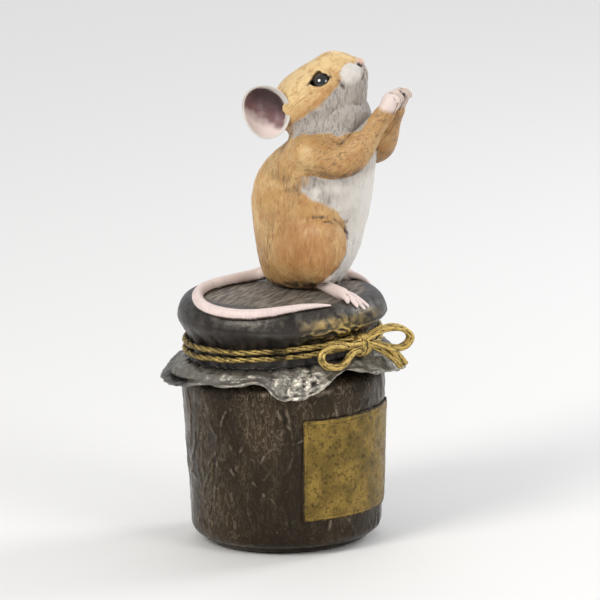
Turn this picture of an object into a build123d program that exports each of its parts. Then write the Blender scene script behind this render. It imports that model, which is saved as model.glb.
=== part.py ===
from build123d import *
import os
from math import atan2, cos, degrees, pi, radians, sin, sqrt, tan

# A painted cast ornament: a mouse sitting up on the cloth cover of a jam jar.
# Millimetres, +Z up. The origin is the middle of the underside, on the jar's axis.
# The mouse faces -Y, so its right side is -X. Headings are degrees from +X.

os.makedirs("parts", exist_ok=True)

# Fits
slide_gap = 0.15
pin_gap = 0.1
touch_gap = 0.05

# Jar
jar_foot_diameter = 41.7
jar_shoulder_diameter = 44.8
jar_neck_diameter = 37.2
jar_body_height = 34.6
jar_shoulder_height = 5.0
jar_neck_height = 11.4
jar_wall = 2.6
jar_floor = 5.0
jar_corner_radius = 3.6

# Base plate and felt pad, let into the foot of the jar
plate_diameter = 31.6
plate_thickness = 2.0
plate_ledge = 2.4
pad_thickness = 1.0
pad_proud = 0.4

# Label
label_width = 30.0
label_height = 23.3
label_thickness = 0.6
label_corner = 0.8
label_height_share = 0.556
front_heading = -107

# Cloth cover
cover_diameter = 46.2
cover_roll = 4.6
cover_top_thickness = 4.3
cover_waist_diameter = 41.6
cover_swell_share = 0.75
cover_swell_drop_share = 0.5

# Twine: two turns, tied a little askew, with the cover's waist a band above and below it
twine_diameter = 1.3
twine_pitch = 1.78
twine_turns = 2
twine_drop = 10.4
tie_tilt = 3.8
tie_high_heading = -66
tie_band = 2.2
waist_drop = 3.6
twine_sample_turn = 5

# Frill below the twine: rows of fall, flare and tuck shares from the waist to the hem
frill_diameter = 52.0
frill_drop = 7.2
frill_start = 2.6
frill_thickness = 1.0
frill_tuck = 1.7
frill_shares = (
    (-0.04, -0.12, 0),
    (0.12, 0.3, 0),
    (0.3, 0.6, 0),
    (0.5, 0.7, 0),
    (0.68, 0.76, 0.3),
    (0.85, 0.86, 0.81),
    (1, 1, 0),
)
frill_lining_rows = (6, 5, 4)
frill_lining_top = 0.2
frill_lining_drop_share = 0.0769230769

# Hem of the frill: heading, radius share, drop share and tuck share
hem_shares = (
    (12, 1.000, 0.970, 0),
    (28, 0.969, 0.695, 0),
    (44, 1.031, 1.031, 0),
    (60, 0.992, 0.734, 0),
    (76, 0.962, 0.529, 0),
    (94, 1.015, 0.805, 0),
    (114, 1.046, 0.961, 0.45),
    (132, 1.027, 0.970, 1.0),
    (148, 1.008, 0.854, 0.45),
    (158, 0.996, 0.709, 0),
    (172, 1.004, 0.717, 0),
    (182, 0.996, 0.692, 0),
    (190, 0.969, 0.578, 0),
    (195, 0.969, 0.692, 0),
    (201, 1.015, 1.156, 0),
    (207, 1.027, 1.204, 0),
    (218, 1.008, 1.088, 0),
    (227, 0.969, 0.811, 0),
    (238, 0.923, 0.524, 0),
    (248, 0.935, 0.675, 0),
    (258, 0.973, 0.919, 0),
    (270, 0.988, 0.967, 0),
    (282, 1.015, 1.118, 0),
    (294, 1.038, 1.205, 0),
    (310, 1.000, 1.004, 0),
    (326, 1.027, 1.260, 0),
    (340, 0.973, 0.897, 0),
    (356, 1.035, 1.215, 0),
)

# Bow
knot_width = 3.6
knot_height = 5.2
knot_depth = 3.9
knot_shares = ((-0.5, 0.8), (0, 1), (0.5, 0.8))
drop_loop_length = 9.0
drop_loop_radius = 2.6
drop_loop_strand = 1.9
drop_loop_turn = 192
drop_loop_lean_share = 0.6164704874
drop_loop_root = 1.0
side_loop_length = 10.2
side_loop_radius = 1.7
side_loop_strand = 1.5
side_loop_swing = 32
side_loop_root = 1.0
bow_tail_strand = 1.2
bow_tail_root = 1.0
bow_tail_lift = 0.5
bow_tail_rows = ((0.45, 0.35), (0.75, 0.7), (1, 1))
bow_tail_ends = {"left": (14.5, 7.4), "right": (19.5, 5.4)}

# Mouse: points are left, forward and up shares of its height, from its seat on the cover
mouse_height = 53.3
mouse_offset = 6.5
torso_shares = (
    (-0.015, 0.041, 0.136, 0.118),
    (0.030, 0.045, 0.168, 0.150),
    (0.085, 0.055, 0.194, 0.178),
    (0.175, 0.069, 0.222, 0.194),
    (0.276, 0.077, 0.243, 0.209),
    (0.362, 0.088, 0.254, 0.217),
    (0.441, 0.103, 0.252, 0.211),
    (0.520, 0.131, 0.236, 0.193),
    (0.615, 0.176, 0.176, 0.153),
    (0.685, 0.191, 0.130, 0.118),
)
haunch_diameter = 16.2
haunch_width = 11.4
haunch_places = {"left": (0.128, 0.085, 0.197), "right": (0.142, 0.173, 0.197)}
haunch_shares = ((-0.5, 0.7), (-0.1, 0.98), (0.15, 0.96), (0.34, 0.76), (0.44, 0.5), (0.48, 0.25))
head_length = 25.0
head_height = 16.4
head_width = 17.0
head_pitch = 40
head_share = (0, 0.159, 0.807)
head_shares = (
    (-0.48, 0.018, 0.35, 0.36),
    (-0.40, 0.030, 0.66, 0.68),
    (-0.28, 0.024, 0.92, 0.94),
    (-0.08, 0.012, 1.00, 0.99),
    (0.08, 0.000, 0.94, 0.96),
    (0.22, -0.026, 0.79, 0.91),
    (0.34, -0.058, 0.61, 0.80),
    (0.436, -0.062, 0.46, 0.55),
    (0.488, -0.080, 0.32, 0.34),
    (0.52, -0.085, 0.14, 0.14),
)
eye_diameter = 4.2
eye_share = (0.105, 0.189, 0.8905)
throat_diameter = 13.2
throat_share = (0, 0.240, 0.737)
ear_diameter = 12.4
ear_thickness = 1.1
ear_cup = 2.4
ear_facing_share = (0.70, 0.68, 0.2)
ear_shares = {"left": (0.2, -0.022, 0.752), "right": (0.2, -0.022, 0.764)}
arm_diameter = 8.8
arm_shares = (
    (0.105, 0.110, 0.580, 0.98),
    (0.176, 0.150, 0.592, 1.00),
    (0.180, 0.234, 0.586, 0.94),
    (0.150, 0.322, 0.574, 0.82),
    (0.105, 0.386, 0.656, 0.68),
    (0.064, 0.442, 0.745, 0.50),
    (0.043, 0.467, 0.797, 0.58),
    (0.036, 0.484, 0.836, 0.50),
    (0.032, 0.492, 0.856, 0.26),
)
paw_gap = 0.1
finger_count = 4
finger_diameter = 1.2
finger_spacing = 0.95
finger_inset_share = 0.7
finger_size_shares = (1, 1, 1, 0.6)
finger_shares = ((0.478, 0.832), (0.503, 0.844), (0.518, 0.828), (0.517, 0.806))
foot_width = 4.2
foot_height = 2.2
foot_shares = ((0, 0.50, 0.8), (0.2, 0.66, 1), (0.7, 0.8, 0.9), (1, 1, 0.72), (1.25, 0.84, 0.4))
foot_paths = {
    "left": ((0.122, 0.060, 0.019), (0.167, 0.165, 0.017), (0.196, 0.236, 0.010)),
    "right": ((0.145, 0.215, 0.019), (0.190, 0.315, 0.014), (0.222, 0.392, -0.015)),
}
toe_count = 4
toe_diameter = 1.5
toe_spacing = 1.55
toe_arch = 0.375
toe_root_share = 0.8
toe_splay_share = 1.5
toe_size_shares = (0.8, 1, 0.9, 0.5)

# Tail: rows of heading, radius as a share of the cover's radius, and thickness share
tail_diameter = 3.4
tail_share = (0, -0.090, 0.050)
tail_shares = (
    (50, 0.475, 0.82),
    (80, 0.54, 0.72),
    (114, 0.755, 0.70),
    (138, 0.905, 0.74),
    (156, 0.985, 0.74),
    (177, 1.000, 0.72),
    (196, 0.970, 0.66),
    (214, 0.890, 0.50),
    (228, 0.870, 0.34),
    (236, 0.870, 0.18),
)

# Hardware that holds the castings together
stud_diameter = 4.0
stud_length = 18.0
stud_grip = 9.6
stud_forward_share = 0.056
washer_diameter = 9.0
washer_thickness = 0.8
nut_width = 7.0
nut_height = 3.2
pin_diameter = 2.0
neck_pin_length = 12.0
neck_pin_share = (0, 0.178, 0.70)
arm_pin_length = 7.0
arm_pin_share = (0.170, 0.160, 0.592)

# Heights and radii that follow from the sizes above
foot_z = pad_proud
plate_top_z = pad_thickness + plate_thickness
floor_z = foot_z + jar_floor
shoulder_z = foot_z + jar_body_height
neck_z = shoulder_z + jar_shoulder_height
rim_z = neck_z + jar_neck_height
cover_z = rim_z + cover_top_thickness
foot_radius = jar_foot_diameter / 2
shoulder_radius = jar_shoulder_diameter / 2
neck_radius = jar_neck_diameter / 2
rebate_radius = plate_diameter / 2 + slide_gap
access_radius = plate_diameter / 2 - plate_ledge
cover_radius = cover_diameter / 2
waist_radius = cover_waist_diameter / 2
frill_flare = frill_diameter / 2 - waist_radius
roll_radius = cover_radius - cover_roll
roll_z = cover_z - cover_roll
tie_z = cover_z - twine_drop
wrap_radius = waist_radius + twine_diameter / 2 + touch_gap
knot_radius = waist_radius + knot_depth / 2
hem_rows = hem_shares + ((hem_shares[0][0] + 360, *hem_shares[0][1:]),)
hem_half = len(hem_shares) // 2


def tilted_plane(height, tilt):
    """A plane across the jar's axis, tilted so that it is highest on the bow's side."""
    lean = radians(tilt)
    high = radians(tie_high_heading)
    rise = Vector(cos(lean) * cos(high), cos(lean) * sin(high), sin(lean))
    up = Vector(-sin(lean) * cos(high), -sin(lean) * sin(high), cos(lean))
    return Plane(origin=(0, 0, height), x_dir=rise, z_dir=up)


tie = tilted_plane(tie_z, tie_tilt)
midline = Plane.YZ.offset(mouse_offset)


def tie_way(heading, out, along, up):
    """A direction in the plane of the twine: outwards, along the turn and up at a heading."""
    turn = radians(heading - tie_high_heading)
    outwards = tie.x_dir * cos(turn) + tie.y_dir * sin(turn)
    sideways = tie.y_dir * cos(turn) - tie.x_dir * sin(turn)
    return outwards * out + sideways * along + tie.z_dir * up


def tie_point(heading, radius, height):
    """A point in the plane of the twine, or at a height above it."""
    return tie.origin + tie_way(heading, radius, 0, height)


def mouse_point(shares, side=1):
    """A point of the mouse from its shares. The side is -1 for the mouse's right."""
    left, forward, up = (mouse_height * share for share in shares)
    return Vector(mouse_offset + side * left, -forward, cover_z + up)


def tapered_tube(points, radii, across):
    """A tube lofted through circles on a path. The circles start on the side given by across."""
    with BuildPart() as tube:
        for index, (point, radius) in enumerate(zip(points, radii)):
            ahead = points[min(index + 1, len(points) - 1)] - points[max(index - 1, 0)]
            with BuildSketch(Plane(origin=point, x_dir=across.cross(ahead), z_dir=ahead)):
                Circle(radius)
        loft()
    return tube.part


def cord_loop(plane, length, radius, strand):
    """A loop of cord: two bowed legs from the plane's origin that meet round a half turn."""
    drop = radius - strand / 2
    bow = (length ** 2 + drop ** 2) / (2 * drop)
    half = atan2(length, bow - drop) / 2
    leg_x = length - bow * sin(half)
    leg_y = radius - bow + bow * cos(half)
    end_x = length + radius * cos(pi / 4)
    end_y = radius * sin(pi / 4)
    with BuildPart() as loop:
        with BuildLine(plane):
            leg = ThreePointArc((0, strand / 2), (leg_x, leg_y), (length, radius))
            ThreePointArc((length, radius), (end_x, end_y), (length + radius, 0))
            ThreePointArc((length + radius, 0), (end_x, -end_y), (length, -radius))
            ThreePointArc((length, -radius), (leg_x, -leg_y), (0, -strand / 2))
        with BuildSketch(Plane(origin=leg @ 0, z_dir=leg % 0)):
            Circle(strand / 2)
        sweep()
    return loop.part


def frill_place(row, share):
    """The radius and height of the frill at a hem row and a row of its fall, flare and tuck."""
    heading, reach, drop, tuck = row
    fall, flare, tucked = share
    high = tie_z + waist_radius * tan(radians(tie_tilt)) * cos(radians(heading - tie_high_heading))
    radius = waist_radius + (frill_diameter / 2 * reach - waist_radius) * flare
    depth = frill_start + (frill_drop * drop - frill_start) * fall
    return radius - frill_tuck * tuck * tucked, high - depth


def pin(start, way, length, diameter):
    """A plain round pin."""
    with BuildPart() as rod:
        with BuildSketch(Plane(origin=start, z_dir=way)):
            Circle(diameter / 2)
        extrude(amount=length)
    return rod.part


# Jar shell: an open-footed casting with a ledge for the base plate
with BuildPart() as jar_shell:
    with BuildSketch(Plane.XZ) as jar_profile:
        with BuildLine():
            Polyline((rebate_radius, foot_z), (foot_radius, foot_z), (shoulder_radius, shoulder_z))
            TangentArc((shoulder_radius, shoulder_z), (neck_radius, neck_z), tangent=(0, 1))
            Polyline(
                (neck_radius, neck_z),
                (neck_radius, rim_z),
                (neck_radius - jar_wall, rim_z),
                (neck_radius - jar_wall, neck_z),
                (shoulder_radius - jar_wall, shoulder_z),
                (foot_radius - jar_wall, floor_z),
                (access_radius, floor_z),
                (access_radius, plate_top_z),
                (rebate_radius, plate_top_z),
                (rebate_radius, foot_z),
            )
        make_face()
        foot_corner = jar_profile.vertices().sort_by_distance((foot_radius, 0, foot_z))[0]
        fillet(foot_corner, jar_corner_radius)
    revolve(axis=Axis.Z)

with BuildPart() as base_plate:
    with BuildSketch(Plane.XY.offset(pad_thickness)):
        Circle(plate_diameter / 2)
    extrude(amount=plate_thickness)

with BuildPart() as base_pad:
    with BuildSketch(Plane.XY):
        Circle(plate_diameter / 2)
    extrude(amount=pad_thickness)

# Label: a thin plate on the slope of the jar's wall
label_z = foot_z + jar_body_height * label_height_share
wall_slope = (shoulder_radius - foot_radius) / jar_body_height
label_low_radius = foot_radius + wall_slope * (label_z - label_height / 2 - foot_z)
label_high_radius = label_low_radius + wall_slope * label_height
label_arc = degrees(2 * label_width / (label_low_radius + label_high_radius))
label_start = radians(front_heading - label_arc / 2)
label_plane = Plane(
    origin=(0, 0, label_z),
    x_dir=(cos(label_start), sin(label_start), 0),
    z_dir=(sin(label_start), -cos(label_start), 0),
)
with BuildPart() as label_plate:
    with BuildSketch(label_plane):
        with BuildLine():
            Polyline(
                (label_low_radius, -label_height / 2),
                (label_low_radius + label_thickness, -label_height / 2),
                (label_high_radius + label_thickness, label_height / 2),
                (label_high_radius, label_height / 2),
                close=True,
            )
        make_face()
    revolve(axis=Axis.Z, revolution_arc=label_arc)
    fillet(label_plate.edges().sort_by(SortBy.LENGTH)[:4], label_corner)

# Cloth cover: a rolled cap over the jar's neck, a tied waist and a gathered frill
swell_z = roll_z - (roll_z - tie_z - tie_band) * cover_swell_drop_share
swell_radius = waist_radius + (cover_radius - waist_radius) * cover_swell_share
with BuildPart() as cloth_cover:
    with BuildSketch(Plane.XZ):
        with BuildLine():
            Polyline((cover_radius, roll_z), (0, roll_z), (0, cover_z), (roll_radius, cover_z))
            TangentArc((roll_radius, cover_z), (cover_radius, roll_z), tangent=(1, 0))
        make_face()
    revolve(axis=Axis.Z)
    with BuildSketch(tie.offset(tie_band)):
        Circle(waist_radius)
    with BuildSketch(tilted_plane(swell_z, tie_tilt / 2)):
        Circle(swell_radius)
    with BuildSketch(Plane.XY.offset(roll_z)):
        Circle(cover_radius)
    loft()
    with BuildSketch(tie.offset(-waist_drop)):
        Circle(waist_radius)
    extrude(amount=waist_drop + tie_band)
    for first in (0, hem_half):
        for row in hem_rows[first:first + hem_half + 1]:
            turn = radians(row[0])
            outer = [frill_place(row, share) for share in frill_shares]
            lining = [
                (outer[index][0] - frill_thickness, outer[index][1] - frill_lining_drop_share * frill_flare)
                for index in frill_lining_rows
            ]
            lining.append((waist_radius - frill_thickness, frill_place(row, (frill_lining_top, 0, 0))[1]))
            half_plane = Plane(
                origin=(0, 0, 0), x_dir=(cos(turn), sin(turn), 0), z_dir=(sin(turn), -cos(turn), 0)
            )
            with BuildSketch(half_plane):
                with BuildLine():
                    Spline(*outer)
                    Polyline(outer[-1], *lining, outer[0])
                make_face()
        loft(ruled=True)
    with BuildSketch(Plane.XY):
        Circle(neck_radius + slide_gap)
    extrude(amount=rim_z, mode=Mode.SUBTRACT)
    with BuildSketch(Plane(origin=mouse_point((0, stud_forward_share, 0)))):
        Circle(stud_diameter / 2 + pin_gap)
    extrude(amount=-cover_top_thickness, mode=Mode.SUBTRACT)


def wound(turned):
    """The twine's point and way after it has turned by an angle from the knot."""
    height = twine_pitch * (turned / 360 - twine_turns / 2)
    way = tie_way(front_heading + turned, 0, 2 * pi * wrap_radius, twine_pitch).normalized()
    return tie_point(front_heading + turned, wrap_radius, height), way


# Twine: quarter turns, each of two tangent arcs, with a straight lead at each end
lead_turn = degrees((knot_width / 2 + twine_diameter) / wrap_radius)
quarters = 4 * twine_turns
quarter_turn = (360 * twine_turns - 2 * lead_turn) / quarters
stops = [wound(lead_turn + quarter_turn * step) for step in range(quarters + 1)]
with BuildPart() as twine:
    with BuildLine() as twine_path:
        Line(stops[0][0] - stops[0][1] * twine_diameter, stops[0][0])
        for (start, start_way), (end, end_way) in zip(stops, stops[1:]):
            chord = end - start
            both = start_way + end_way
            turned = 2 * (1 - start_way.dot(end_way))
            reach = (sqrt(chord.dot(both) ** 2 + turned * chord.dot(chord)) - chord.dot(both)) / turned
            near = start + start_way * reach
            far = end - end_way * reach
            join = (near + far) / 2
            TangentArc(start, join, tangent=start_way)
            TangentArc(join, end, tangent=far - near)
        Line(stops[-1][0], stops[-1][0] + stops[-1][1] * twine_diameter)
    with BuildSketch(Plane(origin=twine_path.line @ 0, z_dir=twine_path.line % 0)):
        Circle(twine_diameter / 2)
    sweep()

samples = [wound(turned)[0] for turned in range(0, 360 * twine_turns + 1, twine_sample_turn)]
half_turn = 180 // twine_sample_turn
closest = min(
    (first - second).length
    for index, first in enumerate(samples)
    for second in samples[index + half_turn:]
)
print(f"twine: least gap to itself {closest - twine_diameter:.2f} mm")

# Bow: a knot over the ends of the twine, two loops and two tails
knot_centre = tie_point(front_heading, knot_radius, 0)
bow_out = tie_way(front_heading, 1, 0, 0)
bow_along = tie_way(front_heading, 0, 1, 0)
with BuildPart() as bow_knot:
    for place, size in knot_shares:
        side_point = knot_centre + bow_along * (knot_width * place)
        with BuildSketch(Plane(origin=side_point, x_dir=bow_out, z_dir=bow_along)):
            Ellipse(knot_depth / 2 * size, knot_height / 2 * size)
    loft()
    add(cloth_cover.part, mode=Mode.SUBTRACT)
    add(twine.part, mode=Mode.SUBTRACT)

drop_lean = atan2(drop_loop_lean_share * frill_flare, frill_drop)
drop_turn = radians(drop_loop_turn)
drop_face = tie_way(front_heading, cos(drop_lean), 0, sin(drop_lean))
drop_way = tie_way(
    front_heading, -sin(drop_lean) * sin(drop_turn), cos(drop_turn), cos(drop_lean) * sin(drop_turn)
)
drop_loop = cord_loop(
    Plane(origin=knot_centre + bow_out * drop_loop_root, x_dir=drop_way, z_dir=drop_face),
    drop_loop_length,
    drop_loop_radius,
    drop_loop_strand,
)
with BuildPart() as bow_loop_left:
    add(drop_loop)
    add(bow_knot.part, mode=Mode.SUBTRACT)
    add(cloth_cover.part, mode=Mode.SUBTRACT)
    add(twine.part, mode=Mode.SUBTRACT)

swing = radians(side_loop_swing)
side_loop = cord_loop(
    Plane(
        origin=knot_centre + tie.z_dir * side_loop_root,
        x_dir=tie_way(front_heading, sin(swing), cos(swing), 0),
        z_dir=tie_way(front_heading, cos(swing), -sin(swing), 0),
    ),
    side_loop_length,
    side_loop_radius,
    side_loop_strand,
)
with BuildPart() as bow_loop_right:
    add(side_loop)
    add(bow_knot.part, mode=Mode.SUBTRACT)
    add(cloth_cover.part, mode=Mode.SUBTRACT)
    add(twine.part, mode=Mode.SUBTRACT)

bow_tails = {}
for name, (end_turn, end_drop) in bow_tail_ends.items():
    tail_points = [knot_centre - tie.z_dir * bow_tail_root]
    for turn_share, drop_share in bow_tail_rows:
        fall = (end_drop * drop_share - frill_start) / (frill_drop - frill_start)
        flare = next(row[1] for row in frill_shares if row[0] >= min(fall, 1))
        reach = waist_radius + (frill_diameter / 2 - waist_radius) * flare
        tail_points.append(tie_point(
            front_heading + end_turn * turn_share,
            max(reach, knot_radius) + bow_tail_strand / 2 + bow_tail_lift,
            -end_drop * drop_share,
        ))
    strand = tapered_tube(tail_points, [bow_tail_strand / 2] * len(tail_points), bow_out)
    with BuildPart() as bow_tail:
        add(strand)
        add(bow_knot.part, mode=Mode.SUBTRACT)
        add(bow_loop_right.part, mode=Mode.SUBTRACT)
        add(cloth_cover.part, mode=Mode.SUBTRACT)
        add(twine.part, mode=Mode.SUBTRACT)
        for other in bow_tails.values():
            add(other.part, mode=Mode.SUBTRACT)
    bow_tails[name] = bow_tail

# Mouse torso with its haunches, seated on the cover, with the holes for stud and pins
seat = mouse_point((0, 0, 0))
stud_top = mouse_point((0, stud_forward_share, 0)) + Vector(0, 0, stud_grip)
down = Vector(0, 0, -1)
neck_pin_low = mouse_point(neck_pin_share) - Vector(0, 0, neck_pin_length / 2)
sides = {"left": 1, "right": -1}
arm_pin_starts = {
    name: mouse_point(arm_pin_share, side) - Vector(side * arm_pin_length / 2, 0, 0)
    for name, side in sides.items()
}
stud_hole = pin(stud_top, down, stud_grip + cover_top_thickness, stud_diameter + 2 * pin_gap)
neck_hole = pin(neck_pin_low, Vector(0, 0, 1), neck_pin_length, pin_diameter + 2 * pin_gap)
arm_holes = {
    name: pin(start, Vector(sides[name], 0, 0), arm_pin_length, pin_diameter + 2 * pin_gap)
    for name, start in arm_pin_starts.items()
}
with BuildPart() as mouse_torso:
    for up, forward, deep, wide in torso_shares:
        with BuildSketch(Plane(origin=mouse_point((0, forward, up)))):
            Ellipse(mouse_height * wide, mouse_height * deep)
    loft()
    for name, side in sides.items():
        for out, size in haunch_shares:
            hip = mouse_point(haunch_places[name], side) + Vector(side * haunch_width * out, 0, 0)
            with BuildSketch(Plane(origin=hip, x_dir=(0, 1, 0), z_dir=(side, 0, 0))):
                Circle(haunch_diameter / 2 * size)
        loft()
    add(cloth_cover.part, mode=Mode.SUBTRACT)
    for hole in (stud_hole, neck_hole, *arm_holes.values()):
        add(hole, mode=Mode.SUBTRACT)

# Mouse head: ovals along an axis that points up at the nose
pitch = radians(head_pitch)
head_axis = Plane(
    origin=mouse_point(head_share), x_dir=(1, 0, 0), z_dir=(0, -cos(pitch), sin(pitch))
)
eye_beads = {}
for name, side in sides.items():
    with BuildPart() as eye:
        with Locations(mouse_point(eye_share, side)):
            Sphere(eye_diameter / 2)
    eye_beads[name] = eye

with BuildPart() as mouse_head:
    for along, lift, wide, high in head_shares:
        with BuildSketch(head_axis.offset(head_length * along)):
            with Locations((0, head_height * lift)):
                Ellipse(head_width / 2 * wide, head_height / 2 * high)
    loft()
    with Locations(mouse_point(throat_share)):
        Sphere(throat_diameter / 2)
    add(mouse_torso.part, mode=Mode.SUBTRACT)
    add(neck_hole, mode=Mode.SUBTRACT)
    for eye in eye_beads.values():
        add(eye.part, mode=Mode.SUBTRACT)

# Ears: cupped discs let into the sides of the head
ears = {}
for name, side in sides.items():
    out, forward, up = ear_facing_share
    facing = Vector(side * out, -forward, up)
    with BuildPart() as ear:
        middle = mouse_point(ear_shares[name], side)
        level = facing.cross(Vector(0, 0, 1))
        with BuildSketch(Plane(origin=middle, x_dir=level, z_dir=level.cross(facing))):
            with BuildLine():
                inner = TangentArc((0, -ear_cup), (ear_diameter / 2, 0), tangent=(1, 0))
                outer = TangentArc(
                    (0, -ear_cup - ear_thickness), (ear_diameter / 2, -ear_thickness / 2), tangent=(1, 0)
                )
                Line(inner @ 1, outer @ 1)
                Line(inner @ 0, outer @ 0)
            make_face()
        revolve(axis=Axis(middle, facing))
        add(mouse_head.part, mode=Mode.SUBTRACT)
        add(mouse_torso.part, mode=Mode.SUBTRACT)
    ears[name] = ear

# Arms: tapered limbs whose paws meet on the midline, the right one mirrored from the left
arm_forms = [
    tapered_tube(
        [mouse_point(row[:3]) for row in arm_shares],
        [arm_diameter / 2 * row[3] for row in arm_shares],
        Vector(1, 0, 0),
    )
]
for index in range(finger_count):
    finger_points = [
        mouse_point((0, forward, up)) + Vector(finger_spacing * (index + finger_inset_share), 0, 0)
        for forward, up in finger_shares
    ]
    finger_radii = [finger_diameter / 2 * size for size in finger_size_shares]
    arm_forms.append(tapered_tube(finger_points, finger_radii, Vector(1, 0, 0)))
arms = {}
for name, side in sides.items():
    forms = arm_forms if side > 0 else [form.mirror(midline) for form in arm_forms]
    with BuildPart() as arm:
        add(forms)
        add(mouse_torso.part, mode=Mode.SUBTRACT)
        add(mouse_head.part, mode=Mode.SUBTRACT)
        add(arm_holes[name], mode=Mode.SUBTRACT)
        split(bisect_by=Plane(origin=seat + Vector(side * paw_gap / 2, 0, 0), z_dir=(side, 0, 0)))
    arms[name] = arm

# Hind feet: a sole and separate toes that lie over the edge of the cover
feet = {}
for name, side in sides.items():
    heel, ball, tip = (mouse_point(row, side) for row in foot_paths[name])
    sole_way = ball - heel
    sideways = sole_way.cross(down).normalized()
    toes = []
    for index in range(toe_count):
        spread = sideways * (toe_spacing * (index - (toe_count - 1) / 2))
        arch = Vector(0, 0, toe_arch)
        toe_points = [
            heel + sole_way * toe_root_share,
            ball + spread * toe_root_share + arch,
            (ball + tip) / 2 + spread + arch,
            tip + spread * toe_splay_share,
        ]
        toe_radii = [toe_diameter / 2 * size for size in toe_size_shares]
        toes.append(tapered_tube(toe_points, toe_radii, Vector(0, 0, 1)))
    with BuildPart() as foot:
        for along, wide, high in foot_shares:
            with BuildSketch(Plane(origin=heel + sole_way * along, x_dir=sideways, z_dir=sole_way)):
                Ellipse(foot_width / 2 * wide, foot_height / 2 * high)
        loft()
        add(toes)
        add(cloth_cover.part, mode=Mode.SUBTRACT)
        add(mouse_torso.part, mode=Mode.SUBTRACT)
    feet[name] = foot


def tail_row(heading, reach, size):
    """A point on the tail's middle line and its radius there, with the tail lying on the cover."""
    radius = tail_diameter / 2 * size
    away = cover_radius * reach
    over = max(away - roll_radius, 0)
    height = roll_z + sqrt((cover_roll + radius) ** 2 - over ** 2)
    return Vector(away * cos(radians(heading)), away * sin(radians(heading)), height), radius


# Tail: a tapered tube from inside the rump round the edge of the cover
tail_rows = [(mouse_point(tail_share), tail_diameter / 2)] + [tail_row(*row) for row in tail_shares]
tail_tube = tapered_tube(*zip(*tail_rows), Vector(0, 0, 1))
with BuildPart() as tail:
    add(tail_tube)
    add(cloth_cover.part, mode=Mode.SUBTRACT)
    add(mouse_torso.part, mode=Mode.SUBTRACT)

# Hardware
with BuildPart() as mounting_stud:
    add(pin(stud_top, down, stud_length, stud_diameter))

washer_top = mouse_point((0, stud_forward_share, 0)) - Vector(0, 0, cover_top_thickness)
with BuildPart() as stud_washer:
    with BuildSketch(Plane(origin=washer_top)):
        Circle(washer_diameter / 2)
        Circle(stud_diameter / 2 + pin_gap, mode=Mode.SUBTRACT)
    extrude(amount=-washer_thickness)

with BuildPart() as stud_nut:
    with BuildSketch(Plane(origin=washer_top - Vector(0, 0, washer_thickness))):
        RegularPolygon(nut_width / 2, 6, major_radius=False)
        Circle(stud_diameter / 2 + touch_gap, mode=Mode.SUBTRACT)
    extrude(amount=-nut_height)

with BuildPart() as neck_pin:
    add(pin(neck_pin_low, Vector(0, 0, 1), neck_pin_length, pin_diameter))

arm_pins = {}
for name, side in sides.items():
    with BuildPart() as arm_pin:
        add(pin(arm_pin_starts[name], Vector(side, 0, 0), arm_pin_length, pin_diameter))
    arm_pins[name] = arm_pin

nodes = {
    "jar_shell": jar_shell,
    "base_plate": base_plate,
    "base_pad": base_pad,
    "label_plate": label_plate,
    "cloth_cover": cloth_cover,
    "twine": twine,
    "bow_knot": bow_knot,
    "bow_loop_left": bow_loop_left,
    "bow_loop_right": bow_loop_right,
    "mouse_torso": mouse_torso,
    "mouse_head": mouse_head,
    "tail": tail,
    "mounting_stud": mounting_stud,
    "stud_washer": stud_washer,
    "stud_nut": stud_nut,
    "neck_pin": neck_pin,
}
for stem, pair in (
    ("bow_tail", bow_tails),
    ("eye", eye_beads),
    ("ear", ears),
    ("arm", arms),
    ("hind_foot", feet),
    ("arm_pin", arm_pins),
):
    nodes.update({f"{stem}_{name}": built for name, built in pair.items()})

for label, built in nodes.items():
    built.part.label = label
    export_step(built.part, f"parts/{label}.step")
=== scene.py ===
import math

import bmesh
import bpy
import numpy as np
from bpy.props import FloatProperty, FloatVectorProperty, PointerProperty
from mathutils import Matrix, Vector, noise
from mathutils.bvhtree import BVHTree


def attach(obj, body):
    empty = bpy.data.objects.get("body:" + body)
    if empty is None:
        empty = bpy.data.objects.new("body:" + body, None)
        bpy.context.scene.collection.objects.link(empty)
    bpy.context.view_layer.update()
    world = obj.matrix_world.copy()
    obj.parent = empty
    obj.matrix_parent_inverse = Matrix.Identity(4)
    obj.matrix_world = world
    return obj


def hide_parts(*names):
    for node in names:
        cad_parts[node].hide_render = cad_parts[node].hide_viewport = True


bl_info = {
    "name": "Mouse on a Jam Jar",
    "version": (1, 0, 0),
    "blender": (4, 5, 0),
    "location": "View3D > Sidebar > Figurine",
    "description": "Sculpts and paints a cast mouse figurine around its packed solids",
    "category": "Object",
}

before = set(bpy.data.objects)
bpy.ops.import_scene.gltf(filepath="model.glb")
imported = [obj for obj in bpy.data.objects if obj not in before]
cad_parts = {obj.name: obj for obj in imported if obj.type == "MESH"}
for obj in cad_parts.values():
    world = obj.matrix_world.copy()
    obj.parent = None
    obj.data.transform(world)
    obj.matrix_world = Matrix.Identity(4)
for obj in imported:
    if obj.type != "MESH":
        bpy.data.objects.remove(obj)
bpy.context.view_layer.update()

# Shapes are made in millimetres and brought to metres when they are finished.
MM = 0.001
PHOTO_PIXELS = 600
ORIGIN_PIXEL = (287, 534.5)
LAMP_GOAL = (0, 0, 0.06)

# The jar and its cover, as in the solids
COVER_Z = 55.7
ROLL_Z = 51.1
ROLL_RADIUS = 18.5
ROLL = 4.6
COVER_RADIUS = ROLL_RADIUS + ROLL
WAIST_RADIUS = 20.85
TIE_Z = 45.3
TIE_BAND = 1.9
TIE_RISE = 1.39
TIE_HIGH = -66
FRONT = -107
KNOT = Vector((-6.65, -21.76, 46.4))
KNOT_ALONG = Vector((0.9563, -0.2924, 0))
KNOT_OUT = Vector((-0.2924, -0.9563, 0))

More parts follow.
